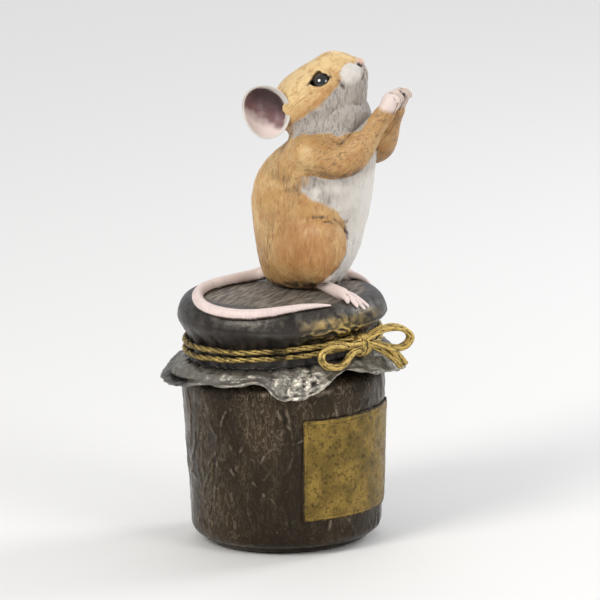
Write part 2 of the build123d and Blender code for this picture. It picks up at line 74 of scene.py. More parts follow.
# Hand-worked strokes in the jar's wall, and the label's middle and half sizes
STROKES = 480
LABEL_Z = 19.64
LABEL_HALF_WIDTH = 15.0
LABEL_HALF_HEIGHT = 11.65

# A cord's plies: their number, and the shares of its diameter for their radius and their reach
PLIES = 3
PLY_SHARE = 0.3
PLY_OUT_SHARE = 0.21

# Small touches of paint
LABEL_RECESS = (0.03, 0.02, 0.01)
WEAVE_GREY = (0.29, 0.25, 0.20)
NOSE_PINK = (0.66, 0.43, 0.41)
# Near-black of painted lines and of painted shade in the eye sockets, mouth, nostrils and between the fingers
LINE_AND_SHADE_BLACK = (0.012, 0.009, 0.008)

# The mouse: its height, its midline and the frame of its head
MOUSE_HEIGHT = 53.3
MIDLINE = 6.5
HEAD_MIDDLE = Vector((MIDLINE, -8.47, 98.71))
HEAD_AXIS = Vector((0, -0.766, 0.643))
HEAD_UP = Vector((0, 0.643, 0.766))
SIDES = {"left": 1, "right": -1}

# The eyes, the mouth (sideways, along and up in the frame of the head) and the fingers
EYE = (6.7, 4.3, 2.5)
EYE_HALF_LENGTH = 2.25
EYE_HALF_HEIGHT = 1.38
EYE_RADIUS = 2.1
EYE_SINK = 1.72
MOUTH = ((0.9, 11.3, 0.1), (0.2, 11.9, -1.0), (0.2, 11.6, -1.9), (0.8, 11.0, -2.6), (1.5, 10.3, -3.1))
FINGER_START = 1.15
FINGER_STEP = 0.92

# Edges of the painted zones, in pixels of the photo
HAUNCH_EDGE = ((335, 214), (344, 222), (347, 240), (345, 255), (338.5, 267), (329, 277), (318, 284))
HAUNCH_NICK = ((324, 223.5), (329, 223), (332, 225))
ARMPIT = ((306, 173), (318, 178), (334, 179.5), (350, 177.5), (361, 172))
COLLAR = ((289, 138.5), (317, 136.5), (340, 137.5), (360, 133.5), (370, 122), (385, 106))

# Hem of the frill: heading, height and radius
HEM = (
    (12, 38.6, 26.0), (28, 40.2, 25.2), (44, 37.4, 26.8), (60, 39.2, 25.8), (76, 40.4, 25.0),
    (94, 38.2, 26.4), (114, 37.0, 27.2), (132, 37.0, 26.7), (148, 38.0, 26.2), (158, 39.2, 25.9),
    (172, 39.4, 26.1), (182, 39.8, 25.9), (190, 40.8, 25.2), (195, 40.1, 25.2), (201, 36.9, 26.4),
    (207, 36.7, 26.7), (218, 37.8, 26.2), (227, 40.0, 25.2), (238, 42.3, 24.0), (248, 41.4, 24.3),
    (258, 39.8, 25.3), (270, 39.6, 25.7), (282, 38.6, 26.4), (294, 38.0, 27.0), (310, 39.4, 26.0),
    (326, 37.4, 26.7), (340, 39.8, 25.3), (356, 37.2, 26.9),
)
FRILL_START = 2.5
FRILL_FALL = (0, 0.12, 0.3, 0.5, 0.68, 0.85, 1)
FRILL_FLARE = (0, 0.3, 0.6, 0.7, 0.76, 0.86, 1)

# Masses that run the shoulders and thighs into the back: left, forward and up shares, and radii
BRIDGES = (
    ((0.115, 0.150, 0.590), (4.8, 4.6, 5.2)),
    ((0.118, 0.105, 0.560), (4.6, 4.8, 5.6)),
    ((0.125, 0.085, 0.500), (4.4, 5.0, 6.4)),
    ((0.085, 0.070, 0.165), (7.6, 8.8, 8.0)),
    ((0.070, 0.250, 0.640), (4.0, 4.6, 5.0)),
    ((0.105, 0.205, 0.655), (3.4, 3.4, 3.4)),
)


class JarLook(bpy.types.PropertyGroup):
    """Sizes and colours of the jar and its label."""

    bronze: FloatVectorProperty(
        name="Bronze", description="Lacquered dark bronze of the jar", subtype="COLOR",
        default=(0.036, 0.024, 0.012), min=0, max=1,
    )
    scratch: FloatVectorProperty(
        name="Scratches", description="Bright metal where the bronze is rubbed", subtype="COLOR",
        default=(0.26, 0.21, 0.15), min=0, max=1,
    )
    label: FloatVectorProperty(
        name="Label", description="Aged gold of the label", subtype="COLOR",
        default=(0.24, 0.158, 0.036), min=0, max=1,
    )
    swirl: FloatProperty(
        name="Swirl depth", description="Depth of the swirls in the jar's wall, in millimetres",
        default=0.24, min=0, max=1,
    )


class CoverLook(bpy.types.PropertyGroup):
    """Sizes and colours of the cloth cover."""

    patina: FloatVectorProperty(
        name="Patina", description="Dark patina of the cloth", subtype="COLOR",
        default=(0.036, 0.031, 0.028), min=0, max=1,
    )
    worn: FloatVectorProperty(
        name="Worn metal", description="Pale metal on the folds", subtype="COLOR",
        default=(0.40, 0.37, 0.31), min=0, max=1,
    )
    pleat: FloatProperty(
        name="Pleat depth", description="Depth of the pleats at the twine, in millimetres",
        default=0.5, min=0, max=2,
    )
    crumple: FloatProperty(
        name="Crumple", description="Height of the creases in the frill, in millimetres",
        default=0.45, min=0, max=2,
    )


class TwineLook(bpy.types.PropertyGroup):
    """Sizes and colours of the twine and its bow."""

    gold: FloatVectorProperty(
        name="Gold", description="Gold of the twine", subtype="COLOR",
        default=(0.36, 0.255, 0.080), min=0, max=1,
    )
    recess: FloatVectorProperty(
        name="Recess", description="Black between the strands", subtype="COLOR",
        default=(0.012, 0.010, 0.008), min=0, max=1,
    )
    diameter: FloatProperty(
        name="Diameter", description="Diameter of the twine, in millimetres", default=1.35, min=0.5, max=3,
    )
    lay: FloatProperty(
        name="Lay", description="Length of one twist of the strands, in millimetres",
        default=8.5, min=1, max=20,
    )


class MouseLook(bpy.types.PropertyGroup):
    """Colours of the painted mouse and the size of its fur marks."""

    fur: FloatVectorProperty(
        name="Fur", description="Honey paint of the back", subtype="COLOR",
        default=(0.47, 0.275, 0.098), min=0, max=1,
    )
    pale: FloatVectorProperty(
        name="Pale fur", description="Cream paint of the crown", subtype="COLOR",
        default=(0.70, 0.505, 0.245), min=0, max=1,
    )
    rust: FloatVectorProperty(
        name="Rust fur", description="Orange paint of the haunch", subtype="COLOR",
        default=(0.36, 0.160, 0.045), min=0, max=1,
    )
    # Also the colour of the painted shadows on the fur and of the painted shade under the tail.
    wash_and_shade: FloatVectorProperty(
        name="Wash_and_shade", description="Dark wash in the creases", subtype="COLOR",
        default=(0.060, 0.038, 0.026), min=0, max=1,
    )
    belly: FloatVectorProperty(
        name="Belly", description="Cool white of the belly", subtype="COLOR",
        default=(0.62, 0.585, 0.535), min=0, max=1,
    )
    throat: FloatVectorProperty(
        name="Throat", description="Grey-lilac of the throat", subtype="COLOR",
        default=(0.37, 0.333, 0.295), min=0, max=1,
    )
    skin: FloatVectorProperty(
        name="Skin", description="Pale pink of paws, feet and tail", subtype="COLOR",
        default=(0.66, 0.545, 0.505), min=0, max=1,
    )
    ear: FloatVectorProperty(
        name="Ear", description="Mauve inside the ears", subtype="COLOR",
        default=(0.15, 0.070, 0.072), min=0, max=1,
    )
    voxel: FloatProperty(
        name="Skin step", description="Size of the skin's faces, in millimetres",
        default=0.27, min=0.2, max=1,
    )


class StageLook(bpy.types.PropertyGroup):
    """The floor, the light and the camera."""

    floor: FloatVectorProperty(
        name="Floor", description="Colour of the floor", subtype="COLOR",
        default=(0.78, 0.77, 0.75), min=0, max=1,
    )
    heading: FloatProperty(
        name="Camera heading", description="Heading of the camera from the jar, in degrees", default=204,
    )
    elevation: FloatProperty(
        name="Camera elevation", description="Angle of the camera above the floor, in degrees", default=12.5,
    )
    roll: FloatProperty(
        name="Camera roll", description="Turn of the camera about its line of sight, in degrees", default=1.2,
    )
    scale: FloatProperty(
        name="Pixels per millimetre", description="Scale of the picture at the jar's axis", default=4.5,
    )
    distance: FloatProperty(
        name="Distance", description="Distance of the camera", subtype="DISTANCE", unit="LENGTH", default=1.5,
    )


def hold(piece):
    """Make a piece the only selected object and the active one."""
    bpy.ops.object.select_all(action="DESELECT")
    piece.select_set(True)
    bpy.context.view_layer.objects.active = piece
    return piece


def ease(low, high, value):
    """A smooth step from 0 to 1 as a value goes from low to high."""
    share = np.clip((value - low) / (high - low), 0, 1)
    return share * share * (3 - 2 * share)


def bell(value, width):
    """A bell curve, 1 where a value is 0."""
    return np.exp(-((value / width) ** 2))


def apart(headings, middle):
    """How far headings are from a middle one, from -180 to 180 degrees."""
    return (headings - middle + 180) % 360 - 180


def points(piece):
    """The points of a piece as an array."""
    flat = np.empty(3 * len(piece.data.vertices), np.float32)
    piece.data.vertices.foreach_get("co", flat)
    return flat.reshape(-1, 3).astype(float)


def place(piece, where):
    """Move the points of a piece."""
    piece.data.vertices.foreach_set("co", np.asarray(where, np.float32).ravel())
    piece.data.update()


def normals(piece):
    """The normals at the points of a piece."""
    flat = np.empty(3 * len(piece.data.vertices), np.float32)
    piece.data.vertex_normals.foreach_get("vector", flat)
    return flat.reshape(-1, 3).astype(float)


def links(piece):
    """The pairs of points that the edges join."""
    flat = np.empty(2 * len(piece.data.edges), np.int32)
    piece.data.edges.foreach_get("vertices", flat)
    return flat.reshape(-1, 2)


def relaxed(where, pairs, rounds, weight=1.0):
    """Points drawn towards the mean of their neighbours."""
    count = np.maximum(np.bincount(pairs.ravel(), minlength=len(where)), 1)[:, None]
    for _ in range(rounds):
        total = np.stack([
            np.bincount(pairs[:, 0], where[pairs[:, 1], axis], len(where))
            + np.bincount(pairs[:, 1], where[pairs[:, 0], axis], len(where))
            for axis in range(3)
        ], 1)
        where = where + 0.5 * weight * (total / count - where)
    return where


def rough(where, size, seed, octaves=1):
    """Smooth noise at points, about -1 to 1, with features of a size."""
    shift = Vector((seed, 2.3 * seed, -1.7 * seed))
    return np.array([noise.fractal(Vector(p) / size + shift, 1.0, 2.0, octaves) for p in where])


def store(piece, name, values):
    """Keep a number for each point under a name that the finishes read."""
    layer = piece.data.attributes.get(name) or piece.data.attributes.new(name, "FLOAT", "POINT")
    layer.data.foreach_set("value", np.asarray(values, np.float32))


def mark_relief(piece, rounds, reach):
    """Keep how hollow and how proud each point is, from 0 to 1."""
    where = points(piece)
    depth = ((relaxed(where, links(piece), rounds) - where) * normals(piece)).sum(1) / reach
    hollow, proud = np.clip(depth, 0, 1), np.clip(-depth, 0, 1)
    store(piece, "hollow", hollow)
    store(piece, "proud", proud)
    return hollow, proud


def applied(piece, kind, **settings):
    """Add a modifier to a piece and apply it."""
    hold(piece)
    step = piece.modifiers.new(kind.lower(), kind)
    for key, value in settings.items():
        setattr(step, key, value)
    bpy.ops.object.modifier_apply(modifier=step.name)
    return piece


def joined(name, parts):
    """Several objects made one."""
    hold(parts[0])
    for part in parts[1:]:
        part.select_set(True)
    bpy.ops.object.join()
    parts[0].name = name
    return parts[0]


def merged(piece, step=1e-3):
    """Weld the points of a piece that lie on each other."""
    hold(piece)
    bpy.ops.object.mode_set(mode="EDIT")
    bpy.ops.mesh.select_all(action="SELECT")
    bpy.ops.mesh.remove_doubles(threshold=step)
    bpy.ops.object.mode_set(mode="OBJECT")
    return piece


def capped(piece):
    """Close the open edges of a piece with fans to points inside it."""
    shape = bmesh.new()
    shape.from_mesh(piece.data)
    waiting = {edge for edge in shape.edges if edge.is_boundary}
    while waiting:
        ring, front = set(), [waiting.pop()]
        while front:
            edge = front.pop()
            ring.add(edge)
            for corner in edge.verts:
                for near in corner.link_edges:
                    if near in waiting:
                        waiting.discard(near)
                        front.append(near)
        corners = {corner for edge in ring for corner in edge.verts}
        middle = sum((corner.co for corner in corners), Vector()) / len(corners)
        inward = sum((corner.normal for corner in corners), Vector()) / len(corners)
        hub = shape.verts.new(middle - inward * 0.8)
        for edge in ring:
            loop = edge.link_loops[0]
            shape.faces.new((loop.link_loop_next.vert, loop.vert, hub))
    shape.to_mesh(piece.data)
    shape.free()
    return piece


def solid_copy(name, *nodes):
    """A mesh of the given solids in millimetres."""
    copies = []
    for node in nodes:
        twin = bpy.data.objects.new(name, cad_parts[node].data.copy())
        bpy.context.scene.collection.objects.link(twin)
        twin.data.transform(Matrix.Scale(1 / MM, 4))
        copies.append(twin)
    return merged(joined(name, copies))


def ball(centre, radii):
    """A ball stretched along the axes."""
    bpy.ops.object.select_all(action="DESELECT")
    bpy.ops.mesh.primitive_uv_sphere_add(segments=40, ring_count=24, radius=1, location=centre, scale=radii)
    bpy.ops.object.transform_apply(location=True, rotation=True, scale=True)
    return bpy.context.object


def woven(name, sheet, around=True):
    """A grid laid out by an array of rows of points, closed around where it goes round."""
    if around:
        sheet = np.concatenate([sheet, sheet[:, :1]], 1)
    rows, columns = sheet.shape[0] - 1, sheet.shape[1] - 1
    bpy.ops.object.select_all(action="DESELECT")
    bpy.ops.mesh.primitive_grid_add(x_subdivisions=columns, y_subdivisions=rows, size=1)
    piece = bpy.context.object
    piece.name = name
    flat = points(piece) + 0.5
    place(piece, sheet[np.rint(flat[:, 1] * rows).astype(int), np.rint(flat[:, 0] * columns).astype(int)])
    return merged(piece, 1e-4)


def sheet_normals(sheet):
    """The outward ways of an array of points that goes round."""
    across = np.roll(sheet, -1, 1) - np.roll(sheet, 1, 1)
    down = np.gradient(sheet, axis=0)
    way = np.cross(across, down)
    return way / np.maximum(np.linalg.norm(way, axis=2, keepdims=True), 1e-9)


def round_sheet(radius, height, turns):
    """Points from radii and heights at headings."""
    radius, height, turns = np.broadcast_arrays(radius, height, turns)
    return np.stack([radius * np.cos(turns), radius * np.sin(turns), height], 2)


def smooth_curve(name, route, order, fine):
    """A curve and its one spline, drawn smoothly along a route."""
    curve = bpy.data.curves.new(name, "CURVE")
    curve.dimensions = "3D"
    curve.resolution_u = fine
    spline = curve.splines.new("NURBS")
    spline.points.add(len(route) - 1)
    for point, where in zip(spline.points, route):
        point.co = (*where, 1)
    spline.order_u = order
    return curve, spline


def tube(name, route, radii, sides=10, order=4, fine=4):
    """A smooth tapered tube along a route."""
    curve, spline = smooth_curve(name, route, order, fine)
    curve.bevel_depth = 1
    curve.bevel_resolution = max((sides - 4) // 2, 0)
    curve.use_fill_caps = True
    spline.use_endpoint_u = True
    for point, radius in zip(spline.points, radii):
        point.radius = radius
    piece = bpy.data.objects.new(name, curve)
    bpy.context.scene.collection.objects.link(piece)
    hold(piece)
    bpy.ops.object.convert(target="MESH")
    return piece


def route_line(route, fine=8, closed=False):
    """Even points along a smooth spline through a route."""
    curve, spline = smooth_curve("route", route, 4, fine)
    spline.use_endpoint_u = not closed
    spline.use_cyclic_u = closed
    carrier = bpy.data.objects.new("route", curve)
    mesh = bpy.data.meshes.new_from_object(carrier)
    line = np.array([v.co for v in mesh.vertices])
    bpy.data.meshes.remove(mesh)
    bpy.data.objects.remove(carrier)
    bpy.data.curves.remove(curve)
    return np.concatenate([line, line[:1]]) if closed else line


def rope(name, line, diameter, lay, step=0.4):
    """A twisted cord of round plies along a line of points."""
    ways = np.diff(line, axis=0)
    reach = np.concatenate([[0], np.cumsum(np.linalg.norm(ways, axis=1))])
    stops = np.linspace(0, reach[-1], max(int(reach[-1] / step), 8))
    middle = np.stack([np.interp(stops, reach, line[:, axis]) for axis in range(3)], 1)
    ahead = np.gradient(middle, axis=0)
    ahead /= np.linalg.norm(ahead, axis=1, keepdims=True)
    side = np.cross(ahead[0], (0.31, 0.17, 0.93))
    sides = []
    for way in ahead:
        side = side - way * side.dot(way)
        side /= np.linalg.norm(side)
        sides.append(side)
    sides = np.array(sides)
    third = np.cross(ahead, sides)
    size = np.array([1 + 0.16 * noise.noise(Vector((stop / 2.3, diameter, reach[-1]))) for stop in stops])
    ply, out = diameter * PLY_SHARE, diameter * PLY_OUT_SHARE
    parts = []
    for index in range(PLIES):
        angle = 2 * math.pi * (stops / lay + index / PLIES)
        offset = sides * np.cos(angle)[:, None] + third * np.sin(angle)[:, None]
        parts.append(tube(name, middle + offset * (out * size)[:, None], ply * size, 8, 3, 1))
    return joined(name, parts)


def finished(piece, nodes, slot, *coats):
    """Bring a piece to its real size, let it ride on the part and give it its finishes."""
    piece.data.transform(Matrix.Scale(MM, 4))
    hold(piece)
    bpy.ops.object.shade_smooth()
    piece.data.materials.clear()
    for coat in coats:
        piece.data.materials.append(coat)
    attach(piece, "root")
    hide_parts(*nodes)
    return piece


def toned(colour, share):
    """A colour made darker or lighter."""
    return [min(1.0, share * part) for part in colour]


def grow(tree, kind, feeds=None, **settings):
    """Add a node, set its options and feed its sockets with values or other sockets."""
    node = tree.nodes.new("ShaderNode" + kind)
    for key, value in settings.items():
        setattr(node, key, value)
    for key, value in (feeds or {}).items():
        if isinstance(value, bpy.types.NodeSocket):
            tree.links.new(value, node.inputs[key])
        else:
            node.inputs[key].default_value = value
    return node


def mixed(tree, share, under, over):
    """A colour laid over another by a share."""
    return grow(tree, "Mix", {0: share, 6: rgba(under), 7: rgba(over)}, data_type="RGBA").outputs[2]


def rgba(colour):
    """A colour with its alpha, or a socket as it is."""
    return colour if isinstance(colour, bpy.types.NodeSocket) else (*colour[:3], 1)


def ranged(tree, value, low, high, start=0.0, end=1.0):
    """A value mapped smoothly from one range to another."""
    feeds = {0: value, 1: low, 2: high, 3: start, 4: end}
    return grow(tree, "MapRange", feeds, interpolation_type="SMOOTHSTEP").outputs[0]


def sums(tree, operation, first, second):
    """Two values put together."""
    return grow(tree, "Math", {0: first, 1: second}, operation=operation).outputs[0]


def times(tree, first, second):
    """Two values multiplied."""
    return sums(tree, "MULTIPLY", first, second)


def added(tree, first, second):
    """Two values added."""
    return sums(tree, "ADD", first, second)


def kept(tree, name):
    """The number kept at each point under a name."""
    return grow(tree, "Attribute", attribute_name=name).outputs["Fac"]


def grain(tree, way, scale, detail=3.0, roughness=0.55, distortion=0.0):
    """The value of a noise texture."""
    feeds = {
        "Vector": way, "Scale": scale, "Detail": detail, "Roughness": roughness, "Distortion": distortion,
    }
    return grow(tree, "TexNoise", feeds).outputs["Fac"]


def effect(name, inputs, outputs):
    """A new shader group with its sockets, and its in and out nodes."""
    group = bpy.data.node_groups.new(name, "ShaderNodeTree")
    for label, kind in inputs:
        group.interface.new_socket(name=label, in_out="INPUT", socket_type="NodeSocket" + kind)
    for label in outputs:
        group.interface.new_socket(name=label, in_out="OUTPUT", socket_type="NodeSocketFloat")
    return group, group.nodes.new("NodeGroupInput"), group.nodes.new("NodeGroupOutput")


def used(tree, name, feeds):
    """An effect placed in a finish."""
    return grow(tree, "Group", feeds, node_tree=bpy.data.node_groups[name]).outputs


def weathered(tree, way, scale):
    """The wear, dirt and unevenness of old metal."""
    feeds = {"Vector": way, "Proud": kept(tree, "proud"), "Hollow": kept(tree, "hollow"), "Scale": scale}
    return used(tree, "metal_age", feeds)


def make_effects():
    """The effects that several finishes share."""
    group, given, result = effect(
        "fur_marks", (("Vector", "Vector"), ("Scale", "Float")), ("Stroke", "Height")
    )
    combed = grow(group, "Mapping", {"Vector": given.outputs["Vector"], "Scale": (1, 1, 0.2)}).outputs[0]
    wide = grain(group, combed, given.outputs["Scale"], 2.0, 0.6, 0.6)
    fine = grain(group, combed, times(group, given.outputs["Scale"], 2.7), 2.0, 0.6, 0.3)
    hairs = added(group, times(group, wide, 0.45), times(group, fine, 0.55))
    group.links.new(ranged(group, hairs, 0.46, 0.66), result.inputs["Stroke"])
    group.links.new(
        added(group, times(group, wide, 0.6), times(group, fine, 0.4)),
        result.inputs["Height"],
    )

    # A dark wash in the hollows; fed painted shadows as well, it also lays painted shade.
    group, given, result = effect(
        "dark_wash_and_shade", (("Vector", "Vector"), ("Hollow", "Float"), ("Scale", "Float")), ("Wash_and_shade",)
    )
    patch = grain(group, given.outputs["Vector"], given.outputs["Scale"], 4.0, 0.65)
    held = times(group, given.outputs["Hollow"], ranged(group, patch, 0.3, 0.62, 0.45, 1.25))
    group.links.new(ranged(group, held, 0.08, 0.8), result.inputs["Wash_and_shade"])

    group, given, result = effect(
        "metal_age",
        (("Vector", "Vector"), ("Proud", "Float"), ("Hollow", "Float"), ("Scale", "Float")),
        ("Worn", "Dark", "Rough", "Height"),
    )
    patch = grain(group, given.outputs["Vector"], given.outputs["Scale"], 5.0, 0.6, 0.4)
    speck = grain(group, given.outputs["Vector"], times(group, given.outputs["Scale"], 5.0), 3.0, 0.6)
    rubbed = times(group, given.outputs["Proud"], ranged(group, patch, 0.32, 0.6, 0.25, 1.2))
    group.links.new(ranged(group, rubbed, 0.1, 0.75), result.inputs["Worn"])
    sunk = times(group, given.outputs["Hollow"], ranged(group, patch, 0.3, 0.6, 0.6, 1.2))
    group.links.new(ranged(group, sunk, 0.05, 0.7), result.inputs["Dark"])
    group.links.new(ranged(group, patch, 0.3, 0.7), result.inputs["Rough"])
    group.links.new(
        added(group, times(group, patch, 0.6), times(group, speck, 0.4)),
        result.inputs["Height"],
    )

    group, given, result = effect("swirls", (("Vector", "Vector"), ("Scale", "Float")), ("Line",))
    bent = grain(group, given.outputs["Vector"], given.outputs["Scale"], 3.0, 0.55, 2.2)
    away = grow(group, "Math", {0: sums(group, "SUBTRACT", bent, 0.5)}, operation="ABSOLUTE").outputs[0]
    group.links.new(ranged(group, away, 0.035, 0.0), result.inputs["Line"])


def coat(name):
    """A new finish with its shader, its object coordinates and its tree."""
    material = bpy.data.materials.new(name)
    material.use_nodes = True
    tree = material.node_tree
    shader = tree.nodes["Principled BSDF"]
    return material, tree, shader, grow(tree, "TexCoord").outputs["Object"]


def embossed(tree, shader, height, strength, depth):
    """A bump on the shader from a height."""
    bump = grow(tree, "Bump", {"Strength": strength, "Distance": depth, "Height": height})
    tree.links.new(bump.outputs[0], shader.inputs["Normal"])


def fur_coat(name, look, pitch, scale=1000.0):
    """Hand-painted fur, with the marks combed along a pitch about the side axis."""
    material, tree, shader, way = coat(name)
    combed = grow(tree, "Mapping", {"Vector": way, "Rotation": (math.radians(pitch), 0, 0)}).outputs[0]
    marks = used(tree, "fur_marks", {"Vector": combed, "Scale": scale})
    cloud = grain(tree, way, 160.0, 4.0, 0.6)
    mottle = grain(tree, way, 520.0, 4.0, 0.65)
    paint = mixed(tree, kept(tree, "pale"), look.fur, look.pale)
    paint = mixed(tree, ranged(tree, cloud, 0.40, 0.68, 0, 0.7), paint, look.pale)
    paint = mixed(tree, kept(tree, "rust"), paint, look.rust)
    paint = mixed(tree, ranged(tree, mottle, 0.46, 0.72, 0, 0.7), paint, look.rust)
    hairs = marks["Height"]
    paint = mixed(tree, ranged(tree, hairs, 0.5, 0.66, 0, 0.3), paint, toned(look.pale, 1.12))
    paint = mixed(tree, ranged(tree, hairs, 0.47, 0.33, 0, 0.5), paint, toned(look.rust, 0.62))
    brush = times(tree, marks["Stroke"], ranged(tree, kept(tree, "brush"), 0, 1, 0.02, 0.85))
    paint = mixed(tree, brush, paint, toned(look.rust, 0.34))
    white = mixed(tree, kept(tree, "throat"), look.belly, look.throat)
    white = mixed(tree, ranged(tree, mottle, 0.48, 0.74, 0, 0.4), white, look.throat)
    upright = used(tree, "fur_marks", {"Vector": way, "Scale": scale})["Stroke"]
    flecks = times(tree, upright, ranged(tree, kept(tree, "throat"), 0, 1, 0.06, 0.75))
    white = mixed(tree, flecks, white, toned(look.throat, 0.34))
    ragged = times(tree, sums(tree, "SUBTRACT", hairs, 0.5), 1.3)
    paint = mixed(tree, ranged(tree, added(tree, kept(tree, "belly"), ragged), 0.15, 0.85), paint, white)
    bare = mixed(tree, ranged(tree, mottle, 0.4, 0.7, 0, 0.5), look.skin, toned(look.skin, 1.12))
    paint = mixed(tree, kept(tree, "bare"), paint, bare)
    paint = mixed(tree, kept(tree, "nose"), paint, NOSE_PINK)
    # Dark wash in the hollows, and painted shade where the painted shadows lie.
    hollow_and_shadow = sums(tree, "MAXIMUM", kept(tree, "hollow"), kept(tree, "painted_shadow"))
    wash_and_shade = used(tree, "dark_wash_and_shade", {"Vector": way, "Hollow": hollow_and_shadow, "Scale": 420.0})["Wash_and_shade"]
    paint = mixed(tree, wash_and_shade, paint, look.wash_and_shade)
    paint = mixed(tree, ranged(tree, kept(tree, "proud"), 0.25, 1.0, 0, 0.3), paint, look.pale)
    # Painted lines, and painted shade in the small recesses.
    paint = mixed(tree, kept(tree, "lines_and_recess_shade"), paint, LINE_AND_SHADE_BLACK)
    tree.links.new(paint, shader.inputs["Base Color"])
    tree.links.new(ranged(tree, mottle, 0.3, 0.7, 0.42, 0.58), shader.inputs["Roughness"])
    embossed(tree, shader, hairs, 0.55, 0.0003)
    return material


def skin_coat(name, look, rings=0.0):
    """Pale painted skin, ringed on a tail."""
    material, tree, shader, way = coat(name)
    mottle = grain(tree, way, 420.0, 4.0, 0.65)
    paint = mixed(tree, ranged(tree, mottle, 0.35, 0.7), look.skin, toned(look.skin, 1.14))
    # Dark wash in the hollows; on the tail it is painted shade on the underside.
    wash_and_shade = used(tree, "dark_wash_and_shade", {"Vector": way, "Hollow": kept(tree, "hollow"), "Scale": 600.0})["Wash_and_shade"]
    paint = mixed(tree, wash_and_shade, paint, toned(look.wash_and_shade, 1.2))
    height = grain(tree, way, 1500.0, 3.0, 0.6)
    if rings:
        turns = times(tree, kept(tree, "reach"), rings)
        band = grow(tree, "Math", {0: turns}, operation="SINE").outputs[0]
        height = added(tree, times(tree, height, 0.35), times(tree, band, 0.14))
        groove = ranged(tree, band, -0.35, -1.0, 0, 0.12)
        paint = mixed(tree, groove, paint, toned(look.skin, 0.55))
    tree.links.new(paint, shader.inputs["Base Color"])
    tree.links.new(ranged(tree, mottle, 0.3, 0.7, 0.36, 0.52), shader.inputs["Roughness"])
    embossed(tree, shader, height, 0.4, 0.00012)
    return material


def ear_coat(look):
    """Fur behind the ear, mauve and white inside it."""
    material, tree, shader, way = coat("ear_paint_brushed")
    mottle = grain(tree, way, 480.0, 4.0, 0.65)
    marks = used(tree, "fur_marks", {"Vector": way, "Scale": 1000.0})
    back = mixed(tree, ranged(tree, mottle, 0.4, 0.7, 0, 0.7), look.fur, look.pale)
    back = mixed(tree, times(tree, marks["Stroke"], 0.4), back, look.rust)
    bowl = mixed(tree, kept(tree, "light"), look.ear, toned(look.skin, 1.08))
    bowl = mixed(tree, ranged(tree, mottle, 0.45, 0.75, 0, 0.25), bowl, look.skin)
    bowl = mixed(tree, kept(tree, "shade"), bowl, toned(look.ear, 0.22))
    paint = mixed(tree, kept(tree, "inner"), back, bowl)
    paint = mixed(tree, kept(tree, "rim"), paint, look.belly)
    tree.links.new(paint, shader.inputs["Base Color"])
    tree.links.new(ranged(tree, mottle, 0.3, 0.7, 0.4, 0.56), shader.inputs["Roughness"])
    embossed(tree, shader, marks["Height"], 0.3, 0.00015)
    return material


def eye_coat():
    """Glossy black, faintly mottled with brown."""
    material, tree, shader, way = coat("eye_gloss")
    glint = grain(tree, way, 900.0, 2.0)
    tree.links.new(
        mixed(tree, ranged(tree, glint, 0.45, 0.75, 0, 0.6), (0.006, 0.005, 0.005), (0.028, 0.018, 0.012)),
        shader.inputs["Base Color"],
    )
    shader.inputs["Roughness"].default_value = 0.08
    shader.inputs["Coat Weight"].default_value = 1.0
    shader.inputs["Coat Roughness"].default_value = 0.03
    return material


def bronze_coat(look):
    """Dark lacquered bronze with rubbed swirls."""
    material, tree, shader, way = coat("bronze_swirled")
    tall = grow(tree, "Mapping", {"Vector": way, "Scale": (1, 1, 0.45)}).outputs[0]
    aged = weathered(tree, way, 240.0)
    hair = used(tree, "swirls", {"Vector": tall, "Scale": 420.0})["Line"]
    cloud = grain(tree, tall, 70.0, 4.0, 0.6, 0.5)
    metal = mixed(tree, ranged(tree, cloud, 0.36, 0.66), toned(look.bronze, 0.6), toned(look.bronze, 1.35))
    metal = mixed(tree, times(tree, hair, ranged(tree, cloud, 0.38, 0.62, 0.08, 0.5)), metal, look.scratch)
    metal = mixed(tree, times(tree, aged["Worn"], 0.5), metal, look.scratch)
    metal = mixed(tree, times(tree, aged["Dark"], 0.75), metal, toned(look.bronze, 0.25))
    tree.links.new(metal, shader.inputs["Base Color"])
    shader.inputs["Metallic"].default_value = 0.7
    tree.links.new(ranged(tree, aged["Rough"], 0, 1, 0.22, 0.40), shader.inputs["Roughness"])
    embossed(tree, shader, added(tree, aged["Height"], times(tree, hair, 0.25)), 0.3, 0.0003)
    return material


